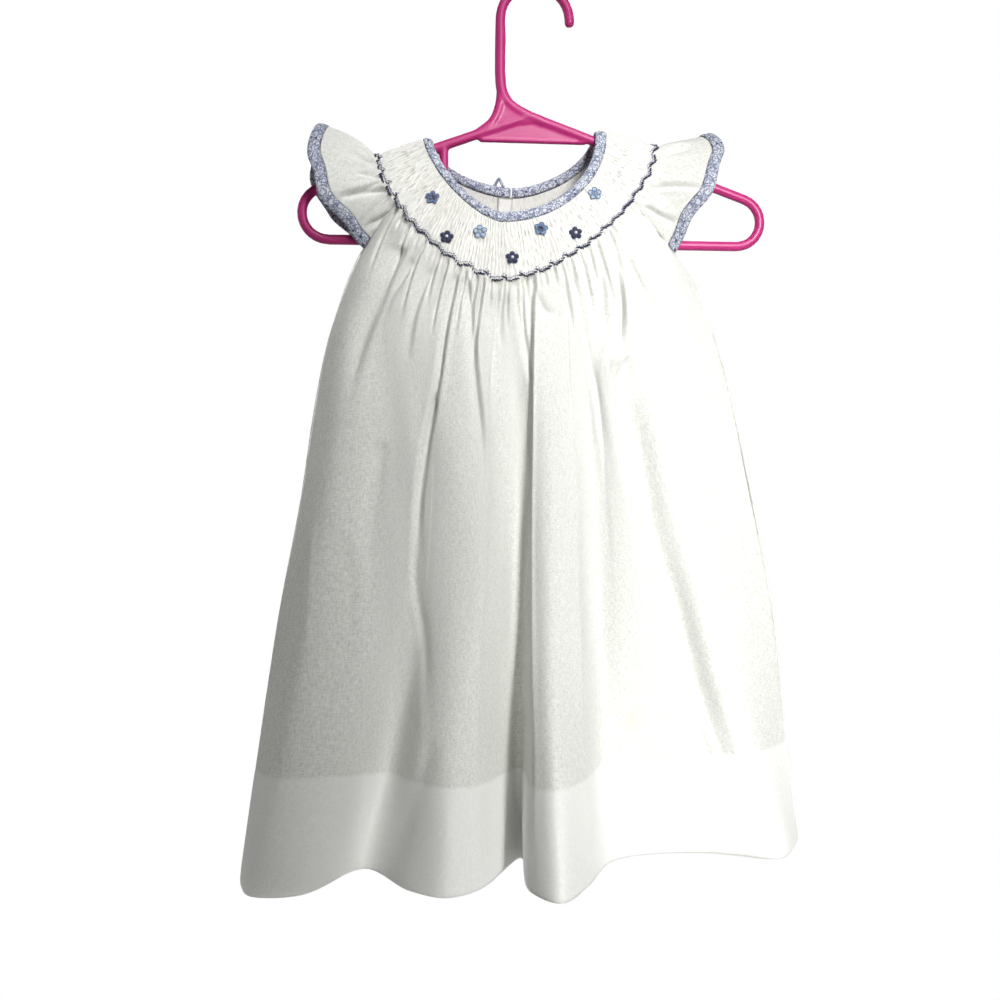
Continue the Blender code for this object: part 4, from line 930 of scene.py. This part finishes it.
def body_piece(name, folds, face, low, high, creases, gathers, seed, material):
    """One body panel, from fold number low to fold number high. Its columns follow the pleats
    in the yoke and drift towards even spacing at the hem."""
    surface = body_surface(folds, face)
    index = np.arange(len(folds))
    shares_at = [fold.share for fold in folds]
    pleats = (shares_at[high] - shares_at[low]) * RAGLAN * SMOCK_PLEATS
    share = np.linspace(shares_at[low], shares_at[high], round(COLUMNS_PER_PLEAT * pleats) + 1)
    hem_place = np.linspace(low, high, len(share))
    yoke_place = np.interp(share, shares_at, index)
    rows = np.append(YOKE_ROWS, SKIRT_ROWS)
    middle, share_grid = [], []
    for way in rows:
        drift = np.clip((way - 1.02) / 0.5, 0, 1)**1.2 * 0.75
        places = yoke_place + (hem_place - yoke_place) * drift
        middle.append(surface(places, way))
        share_grid.append(np.interp(places, index, shares_at))
    middle, share_grid = np.array(middle), np.array(share_grid)
    way_grid = rows[:, None] + 0 * share_grid
    last = len(YOKE_ROWS) - 1
    steps = np.linalg.norm(np.diff(middle, axis=0), axis=2)
    steps[:last] = 0
    below = np.vstack([np.zeros(middle.shape[1]), np.cumsum(steps, axis=0)])
    skirt = np.clip((way_grid - 1) * 1000, 0, 1)

    edge = middle[last][np.argsort(middle[last][:, 0])]
    folds_here = creases + panel_gathers(edge, gathers, np.random.default_rng(seed))

    lift = smocking(np.abs(body_turns(face, share_grid)), np.minimum(way_grid, 1.0))
    lift *= np.where(way_grid > 1, bell(below, 2.2), 1)
    lift += skirt * 1.2 * bell(below - 7, 6)      # the gathers puff out under the stitches
    lift += np.clip(below / 40, 0, 1) * undulation(share_grid, below, seed)
    lift += crease_lift(middle, folds_here) * skirt
    hem = fade(0.5 + (way_grid - 1 - HEM_DOWN) * 180)
    lift += HEM_LIFT * hem
    lift -= 0.30 * bell(way_grid - 1 - HEM_DOWN, 0.004)      # the hem's seam
    lift -= 0.45 * bell(way_grid - 2, 0.006)      # its lower edge
    laps = []
    for end, limit in ((0, 0), (-1, len(folds) - 1)):
        at_side = (low if end == 0 else high) == limit      # else at the centre-back seam
        opening = np.where(rows < OPENING_DOWN, OPENING_GAP, SEAM_LAP)[:, None]
        laps.append(SEAM_LAP if at_side else opening)
        aside = np.linalg.norm(middle - middle[:, [end]], axis=2)
        lift *= np.where(lift > 0, 0.35 + 0.65 * (1 - bell(aside, 6)), 1)
        depth, shut = (0.55, np.clip((way_grid - 1) * 30, 0.25, 1)) if at_side else (0.4, 1.5)
        lift -= depth * bell(aside, 1.4) * shut
    stain = np.exp(-sum(((middle[..., axis] - STAIN[k]) / STAIN_SIZE[k])**2
                        for k, axis in enumerate((0, 2)))) * (face < 0)
    # The hem mark carries the turned hem's painted light into the cotton.
    marks = {"hem": hem, "smock": smocked(way_grid, 1.15), "stain": stain}
    return cloth_shell(name, middle, face, lift, material, marks, laps)


def sleeve_piece(name, side, surface, material):
    """One sleeve from the neck to its binding, with gathers under the smocking."""
    pleats = 2 * (1 - RAGLAN) * SMOCK_PLEATS
    share = np.linspace(0, 1, round(COLUMNS_PER_PLEAT * pleats) + 1)
    rows = np.append(YOKE_ROWS, np.linspace(1.02, 1.99, 50))
    middle = np.array([surface(share, way) for way in rows])
    way_grid = rows[:, None] + 0 * share
    flare = way_grid - 1
    lift = smocking(sleeve_turns(1, share) + 0 * way_grid, np.minimum(way_grid, 1.0))
    below = np.linalg.norm(middle - middle[len(YOKE_ROWS) - 1], axis=2) * (way_grid > 1)
    lift *= np.where(way_grid > 1, bell(below, 2.5), 1)
    dice = np.random.default_rng(side + 31)
    spots = np.arange(SLEEVE_GATHERS) + dice.uniform(0.15, 0.85, SLEEVE_GATHERS)
    gathers = zip(spots / SLEEVE_GATHERS * (len(share) - 1),
                  dice.uniform(0.6, 1.3, SLEEVE_GATHERS), dice.uniform(5, 26, SLEEVE_GATHERS))
    lift += column_gathers(middle, below, gathers)
    lift += crease_lift(middle, SLEEVE_CREASES[side]) * np.clip(flare * 20, 0, 1) * (share < 0.5)
    lift += (np.clip(flare * 4, 0, 1) * 0.4
             * np.sin(11 * share + 5 * way_grid) * np.sin(23 * share))
    for end in (0, -1):
        aside = np.linalg.norm(middle - middle[:, [end]], axis=2)
        lift -= 0.45 * bell(aside, 1.3) * np.clip(flare * 10, 0.25, 1)
    return cloth_shell(name, middle, -side, lift, material, {"smock": smocked(way_grid, 1.0)})


# A folded strip's section: share of its width from the seam to the edge, and height (mm).
BINDING_SECTION = [
    (0.06, 0.1), (0.0, 0.7), (0.08, 1.2), (0.25, 1.45), (0.5, 1.55), (0.75, 1.4), (0.92, 1.0),
    (1.0, 0.5), (1.02, 0.0), (1.0, -0.5), (0.92, -1.0), (0.75, -1.3), (0.5, -1.4), (0.25, -1.35),
    (0.08, -1.2), (0.0, -0.7), (0.06, -0.1)]


def bound_edge(name, surface, outward, columns, seam, edge, material):
    """A bias strip folded over an edge: one open sheet, a soft U in section, slightly puckered.
    seam, edge: how far down the surface the strip's seam and the cloth's edge lie."""
    rows = []
    nudge = 0.02 * (edge - seam)
    for part, off in BINDING_SECTION:
        way = seam + (edge - seam) * part
        line = surface(columns, way)
        step = surface(columns, way + nudge) - surface(columns, way - nudge)
        normal = outward * unit_rows(np.cross(np.gradient(line, axis=0), step))
        length = lengths(line)
        pucker = 0.13 * np.sin(length / 1.9) + 0.09 * np.sin(length / 0.83 + 2)
        rows.append(line + normal * (off + np.sign(off) * pucker * min(1, 2 * part + 0.3))[:, None])
    middle = np.array(rows)
    down = lengths(middle)
    uv = np.stack(np.meshgrid(lengths(middle[3]) * 0.8 + down.max(), down), axis=-1)
    # The strip is cut on the bias, so its weave and print run at 45 degrees.
    turned = np.stack([uv[..., 0] + uv[..., 1], uv[..., 1] - uv[..., 0]], axis=-1) * 0.7071 * MM
    return mesh_piece(name, middle.reshape(-1, 3), grid_faces(*middle.shape[:2]).tolist(), material,
                      turned.reshape(-1, 2))


# ---- stitches
def pebble(rings, sides):
    """A unit ball as points and faces."""
    points = [(0, 0, 1)]
    for k in range(1, rings):
        a = math.pi * k / rings
        points += [(math.sin(a) * math.cos(b), math.sin(a) * math.sin(b), math.cos(a))
                   for b in np.arange(sides) * 2 * math.pi / sides]
    points.append((0, 0, -1))
    faces = [(0, 1 + j, 1 + (j + 1) % sides) for j in range(sides)]
    for k in range(rings - 2):
        a, b = 1 + k * sides, 1 + (k + 1) * sides
        faces += [(a + j, b + j, b + (j + 1) % sides, a + (j + 1) % sides) for j in range(sides)]
    last = 1 + (rings - 1) * sides
    tail = last - sides
    faces += [(last, tail + (j + 1) % sides, tail + j) for j in range(sides)]
    return np.array(points), faces


def grains(name, centres, along_way, up, sizes, material, rings=4, sides=6):
    """Many small rounded stitches: sizes are half lengths along, across and up."""
    points, faces = pebble(rings, sides)
    along_way, up = unit_rows(np.asarray(along_way)), unit_rows(np.asarray(up))
    across = unit_rows(np.cross(up, along_way))
    sizes = np.broadcast_to(np.asarray(sizes, float), (len(centres), 3))
    all_points = np.asarray(centres)[:, None]
    for k, axis in enumerate((along_way, across, up)):
        reach = points[None, :, k:k + 1] * sizes[:, None, k:k + 1] * axis[:, None]
        all_points = all_points + reach
    all_faces = [tuple(i + k * len(points) for i in face)
                 for k in range(len(centres)) for face in faces]
    return mesh_piece(name, all_points.reshape(-1, 3), all_faces, material)


def yoke_frame(turns, way):
    """Points of the yoke with the directions down it and outwards."""
    turns = np.asarray(turns, float)
    way = np.broadcast_to(np.asarray(way, float), turns.shape)

    def at(offset_turn, offset_way):
        return np.array([ring_points(w + offset_way, [t + offset_turn])[0]
                         for t, w in zip(turns, way)])
    point = at(0, 0)
    round_it = unit_rows(at(0.004, 0) - at(-0.004, 0))
    down_it = unit_rows(at(0, 0.01) - at(0, -0.01))
    outward = unit_rows(np.cross(down_it, round_it))
    centre_y = np.where(np.abs(turns) <= 1, -1.0, 1.0)
    steep = np.abs(outward[:, 1]) > 0.15
    sign = np.where(steep, np.sign(outward[:, 1]) * centre_y, np.sign(outward[:, 2]))
    return point, down_it, outward * sign[:, None]


def cable_rows(navy, pale):
    """Two rows of cable stitches that follow the scallops along the yoke's edge."""
    fine = np.linspace(-1.985, 1.985, 2400)
    length = lengths(ring_points(1.0, fine))
    count = int(length[-1] / STITCH_PITCH)
    spots = np.linspace(0, length[-1], count)
    turns = np.interp(spots, length, fine)
    phase = spots / SCALLOP_PITCH - 0.25 + 0.12 * np.sin(spots / 23)
    wobble = (0.010 * np.sin(2.1 * phase) + 0.007 * np.sin(5.3 * phase)
              + 0.012 * np.sin(13.0 * phase))
    way = 1.0 - SCALLOP_DEPTH * (1 - np.abs(np.sin(math.pi * phase))**0.75) + wobble
    dice = np.random.default_rng(8)
    for name, material, raised, size, lean in (
            ("cable_navy", navy, -0.008, (1.3, 0.55, 0.68), 0.95),
            ("cable_pale", pale, ROW_GAP, (0.8, 0.4, 0.34), -0.7)):
        point, _, outward = yoke_frame(turns, way - raised)
        heading = unit_rows(np.gradient(point, axis=0))
        leans = (lean + dice.uniform(-0.2, 0.2, count))[:, None]
        heading = unit_rows(heading + np.cross(heading, outward) * leans)
        sizes = np.array(size) * dice.uniform(0.8, 1.2, (count, 1))
        raised_point = point + outward * (CLOTH / 2 + PLEAT_HEIGHT * 0.95)
        grains(name, raised_point, heading, outward, sizes, material)


def flowers(threads_by_name):
    """Five-petal flowers: solid navy ones with a white knot, and ringed ones with a star."""
    turns, ways = np.linspace(-0.95, 0.95, 381), np.linspace(0.05, 0.98, 60)
    grid = np.array([ring_points(way, turns) for way in ways]).transpose(1, 0, 2)
    batches = {}

    def stitch(colour, centre, heading, up, size):
        batches.setdefault(colour, []).append((centre, heading, up, size))
    for flower in FLOWERS:
        gap = np.hypot(grid[..., 0] - flower.x, grid[..., 2] - flower.z)
        i, j = np.unravel_index(np.argmin(gap), gap.shape)
        point, _, up = (value[0] for value in yoke_frame([turns[i]], ways[j]))
        upright = unit_rows(np.array([0, 0, 1.0]) - up[2] * up)
        sideways = np.cross(up, upright)
        base = point + up * (CLOTH / 2 + PLEAT_HEIGHT * 1.25)
        for k in range(5):
            angle = math.radians(90 + 72 * k + flower.turn)
            out = sideways * math.cos(angle) + upright * math.sin(angle)
            beside = np.cross(up, out)
            heart = base + out * PETAL_REACH
            if flower.inner is None:
                stitch(flower.petal, heart - out * 0.35, out, up, PAD)
                for step in (-1.1, -0.55, 0, 0.55, 1.1):
                    stitch(flower.petal, heart + beside * step * 0.85 + up * 0.3,
                           unit_rows(out + beside * step * 0.3), up,
                           (1.5 - 0.35 * abs(step), 0.3, 0.35))
                continue
            stitch(flower.inner, heart, out, up, FILLING)
            for turn in np.arange(9) * 2 * math.pi / 9:
                rim = out * math.cos(turn) + beside * math.sin(turn)
                stitch(flower.petal, heart + rim * PETAL_RADIUS + up * 0.28, np.cross(up, rim), up,
                       RIM_STITCH)
            if flower.star:
                stitch(flower.star, base + out * 1.5 + up * 0.5, out, up, STAR_STITCH)
        if flower.inner is None:
            stitch("white", base + up * 0.95, sideways, up, WHITE_KNOT)
        else:
            stitch(flower.star or "white", base + up * 0.45, sideways, up, SMALL_KNOT)
    for colour, items in batches.items():
        centres, along_way, up, sizes = (np.array(column) for column in zip(*items))
        grains(f"flowers_{colour}", centres, along_way, up, sizes, threads_by_name[colour],
               rings=5, sides=8)


# ---- hard pieces
# The moulding is filled in under the stem: x and z of the filling's corners, half its thickness
GUSSET = [(-22.5, -66.0), (-17.0, -73.0), (-7.0, -79.0), (4.0, -84.0), (-8.0, -86.0),
          (-27.0, -84.0)]
GUSSET_HALF = 2.5
# Radius and height (mm) from the button's underside over its rim to its sunk middle
BUTTON_PROFILE = [(0.0, -1.0), (3.9, -1.0), (4.45, -0.6), (4.6, 0.1), (4.4, 0.7), (3.9, 1.0),
                  (3.4, 0.9), (3.0, 0.45), (2.4, 0.3), (0.0, 0.3)]
BUTTON_PLACE = ([1.93], [-0.3])        # turn and way of the yoke under the button
BUTTON_SIDES, LOOP_SIDES = 48, 16
LOOP_RADIUS = 1.15


def moulded_hanger(material):
    """The hanger's own solid, remeshed and relaxed so that its joins become fillets."""
    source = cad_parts["hanger"]
    mesh = source.data.copy()
    gusset = bmesh.new()
    gusset.from_mesh(mesh)
    for order, y in ((1, -GUSSET_HALF), (-1, GUSSET_HALF)):
        gusset.faces.new([gusset.verts.new((x * MM, y * MM, z * MM)) for x, z in GUSSET][::order])
    gusset.verts.ensure_lookup_table()
    count = len(GUSSET)
    front, back = gusset.verts[-2 * count:-count], gusset.verts[-count:]
    for k in range(count):
        gusset.faces.new((front[k - 1], back[k - 1], back[k], front[k]))
    bmesh.ops.recalc_face_normals(gusset, faces=gusset.faces)
    gusset.to_mesh(mesh)
    gusset.free()
    thing = shown("hanger_moulding", mesh)
    remesh = thing.modifiers.new("even", "REMESH")
    remesh.mode = "VOXEL"
    remesh.voxel_size = 0.0009
    remesh.use_smooth_shade = True
    relax = thing.modifiers.new("relax", "SMOOTH")
    relax.factor = 0.5
    relax.iterations = 7
    shaped = thing.evaluated_get(bpy.context.evaluated_depsgraph_get())
    thing.data = bpy.data.meshes.new_from_object(shaped)
    thing.modifiers.clear()
    thing.data.materials.clear()
    thing.data.materials.append(material)
    thing.data.shade_smooth()
    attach(thing, "root")
    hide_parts("hanger")


def button(material, white):
    """A small sew-through button where its solid is."""
    low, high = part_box("back_button")
    centre = np.array((low + high) / 2) / MM
    _, down_it, outward = yoke_frame(*BUTTON_PLACE)
    normal, up = outward[0], -down_it[0]
    side = np.cross(up, normal)
    points = np.array([
        centre + (side * math.cos(a) + up * math.sin(a)) * max(radius, 0.02) + normal * height
        for radius, height in BUTTON_PROFILE
        for a in np.linspace(0, 2 * math.pi, BUTTON_SIDES + 1)[:-1]])
    last = len(points) - BUTTON_SIDES
    faces = ring_quads(len(BUTTON_PROFILE), BUTTON_SIDES)
    faces += [tuple(range(BUTTON_SIDES)), tuple(range(last, len(points)))[::-1]]
    piece = mesh_piece("button_pearl", points, faces, material)
    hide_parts("back_button")
    cross = [(side + up) / 1.4142, (side - up) / 1.4142]
    grains("button_thread", np.array([centre + normal * 0.5, centre + normal * 0.65]), cross,
           np.array([normal, normal]), (1.7, 0.3, 0.35), white, sides=8)


def small_loop(material):
    """The thread loop beside the back opening, on its own solid's line."""
    low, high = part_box("button_loop")
    x0, y0, z0 = np.array(low) / MM + (0.7, 0.7, -2.2)      # both feet run on into the binding
    x1, y1, z1 = np.array(high) / MM - (0.7, 0.7, 0.9)
    angles = np.linspace(0, math.pi, 40)
    points = []
    for k, angle in enumerate(angles):
        part = 0.5 + 0.5 * math.cos(angle)
        centre = np.array([x0 + (x1 - x0) * part, y0 + (y1 - y0) * (1 - part),
                           z0 + (z1 - z0) * (1 - abs(2 * part - 1)**1.4)])
        out = np.array([math.cos(angle), 0, math.sin(angle)])
        for a in np.linspace(0, 2 * math.pi, LOOP_SIDES + 1)[:-1]:
            radius = LOOP_RADIUS + 0.08 * math.sin(2 * a + 0.9 * k)      # a twisted cord
            points.append(centre + (out * math.cos(a) + np.array([0, 1, 0]) * math.sin(a)) * radius)
    uv = np.stack([np.tile(np.arange(LOOP_SIDES) * 0.25, len(angles)),
                   np.repeat(np.arange(len(angles)) * 0.3, LOOP_SIDES)], axis=1)
    piece = mesh_piece("loop_cord", np.array(points), ring_quads(len(angles), LOOP_SIDES), material,
                       uv * MM)
    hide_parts("button_loop")


def placket_piece(material):
    """The strip inside the centre-back opening, laid along the backs' own surface."""
    rows, columns = 46, 13
    width, inwards, step = 9.0, 1.85, 0.2
    surface = body_surface(BACK_FOLDS, 1)
    grid = []
    for way in np.linspace(0.02, 1.08, rows):
        pair = surface(np.array([CENTRE_SEAM - step, CENTRE_SEAM]), way)
        reach = width / np.linalg.norm(pair[1] - pair[0]) * step
        places = CENTRE_SEAM - reach * np.linspace(0.92, -0.08, columns)
        line = surface(places, way)
        down = surface(places, way + 0.01) - surface(places, way - 0.01)
        normal = unit_rows(np.cross(np.gradient(line, axis=0), down))
        normal *= np.sign(normal[:, 1:2])
        grid.append(line - normal * inwards)
    lift = 0.12 * np.sin(np.linspace(0, 9, rows))[:, None] * np.sin(np.linspace(0, 3.1, columns))
    # The strip gets 0.6 of the hem's painted light, so it is painted whiter.
    return cloth_shell("placket_strip", np.array(grid), 1, lift, material, {"hem": 0.6 + 0 * lift},
                       every=2, thickness=0.8)


# ---- build
white_cotton = cotton()
print_cotton = paisley()
THREADS = {name: thread(f"floss_{name}", colour) for name, colour in {
    "navy": (0.018, 0.024, 0.075), "slate": (0.16, 0.22, 0.37), "mid_blue": (0.12, 0.19, 0.36),
    "pale_blue": (0.22, 0.33, 0.50), "mid_pale": (0.17, 0.27, 0.44), "ice": (0.50, 0.60, 0.72),
    "grey_blue": (0.36, 0.36, 0.52), "white": (0.86, 0.86, 0.85)}.items()}
pink = plastic()

cloth = {node: body_piece(f"{node}_cloth", *panel, white_cotton) for node, panel in {
    "front": (FRONT_FOLDS, -1, 0, len(FRONT_FOLDS) - 1, FRONT_CREASES, FRONT_GATHERS, 3),
    "back_left": (BACK_FOLDS, 1, 0, CENTRE_SEAM, BACK_CREASES, None, 14),
    "back_right": (BACK_FOLDS, 1, CENTRE_SEAM, len(BACK_FOLDS) - 1, BACK_CREASES, None, 25),
}.items()}
for side, word in ((-1, "left"), (1, "right")):
    surface = sleeve_surface(side)
    cloth[f"sleeve_{word}"] = sleeve_piece(f"sleeve_{word}_cloth", side, surface, white_cotton)
    cloth[f"sleeve_binding_{word}"] = bound_edge(
        f"sleeve_{word}_print", surface, -side, np.linspace(0.002, 0.998, 190), 2.0, 3.0,
        print_cotton)
cloth["neck_binding"] = bound_edge("neck_print", lambda turns, way: ring_points(way, turns), 1,
                                   np.linspace(-1.991, 1.991, 460), 0.03, -0.92, print_cotton)
cloth["back_placket"] = placket_piece(white_cotton)
for node, piece in cloth.items():
    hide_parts(node)
cable_rows(THREADS["navy"], THREADS["grey_blue"])
flowers(THREADS)
moulded_hanger(pink)
button(pearl(), THREADS["white"])
small_loop(print_cotton)

# Each sheet's flat width and length (m) and its area (m2), None where it is width times length
FLATS = {
    "front": (0.56, 0.45, 0.180),
    "back_left": (0.28, 0.45, 0.084), "back_right": (0.28, 0.45, 0.084),
    "sleeve_left": (0.17, 0.07, 0.0073), "sleeve_right": (0.17, 0.07, 0.0073),
    "sleeve_binding_left": (0.16, 0.022, None), "sleeve_binding_right": (0.16, 0.021, None),
    "neck_binding": (0.34, 0.0135, None), "back_placket": (0.011, 0.066, None),
}
for node, piece in cloth.items():
    width, length, area = FLATS[node]


# ---- room, light and camera
def area_light(name, place, target, size, power, colour=(1, 1, 1), spread=180):
    """A rectangular lamp that shines from place to target. power: watts; spread: degrees."""
    data = bpy.data.lights.new(name, "AREA")
    data.shape = "RECTANGLE"
    data.size, data.size_y = size
    data.energy = power
    data.color = colour
    data.spread = math.radians(spread)
    lamp = shown(name, data)
    lamp.location = place
    lamp.rotation_euler = (Vector(target) - Vector(place)).to_track_quat("-Z", "Y").to_euler()
    lamp.visible_camera = False


scene = bpy.context.scene
area_light("key", (0.31, -1.14, -0.14), (0.13, 0, -0.44), (0.20, 0.8), 1.36,
           (1.0, 0.995, 0.985), 30)
area_light("top", (0.05, -0.52, 0.34), (-0.09, 0, -0.115), (0.3, 0.3), 0.24, (1, 1, 1), 29)
area_light("low", (-0.35, -0.85, -0.75), (-0.16, 0, -0.54), (0.3, 0.2), 0.06, (0.99, 1, 0.97), 28)
area_light("back", (0.45, 1.35, 0.25), (0, 0, -0.30), (0.9, 1.2), 22)
area_light("side", (-1.30, 0.80, -0.10), (0, 0, -0.33), (0.6, 1.2), 5)


def white_to_camera(tree, white, lit, end):
    """The camera itself sees plain white; every other ray gets the lit look."""
    plug(tree, white, {0: (1, 1, 1, 1), 1: 1.0})
    seen = add(tree, "LightPath").outputs["Is Camera Ray"]
    both = add(tree, "MixShader", {0: seen, 1: lit.outputs[0], 2: white.outputs[0]})
    plug(tree, tree.nodes[end], {0: both.outputs[0]})


world = bpy.data.worlds.new("studio")
scene.world = world
world.use_nodes = True
lit = add(world.node_tree, "Background", {0: (0.97, 0.97, 0.90, 1), 1: 0.06})
white_to_camera(world.node_tree, world.node_tree.nodes["Background"], lit, "World Output")

FLOOR_Z, FLOOR_HALF = -0.78, 5
floor_mesh = bpy.data.meshes.new("floor")
floor_mesh.from_pydata([(x * FLOOR_HALF, y * FLOOR_HALF, FLOOR_Z)
                        for x, y in ((-1, -1), (1, -1), (1, 1), (-1, 1))], [], [(0, 1, 2, 3)])
floor = shown("floor", floor_mesh)
pale, tree = nodes_of("pale_floor")
lit = dress_shader(tree, (0.8, 0.8, 0.8, 1), {"Roughness": 0.9})
white_to_camera(tree, add(tree, "Emission"), lit, "Material Output")
floor_mesh.materials.append(pale)

AZIMUTH = math.radians(-6.0)
DISTANCE = 0.850
TARGET = (-0.0226, -0.327)             # x and z that the camera looks at
SENSOR, LENS = 36.0, 47.808            # mm
camera_data = bpy.data.cameras.new("camera")
camera_data.sensor_width = SENSOR
camera_data.lens = LENS
camera = shown("camera", camera_data)
camera.location = (TARGET[0] + DISTANCE * math.sin(AZIMUTH), -DISTANCE * math.cos(AZIMUTH),
                   TARGET[1])
camera.rotation_euler = (math.pi / 2, 0, AZIMUTH)
scene.camera = camera
scene.view_settings.view_transform = "Standard"
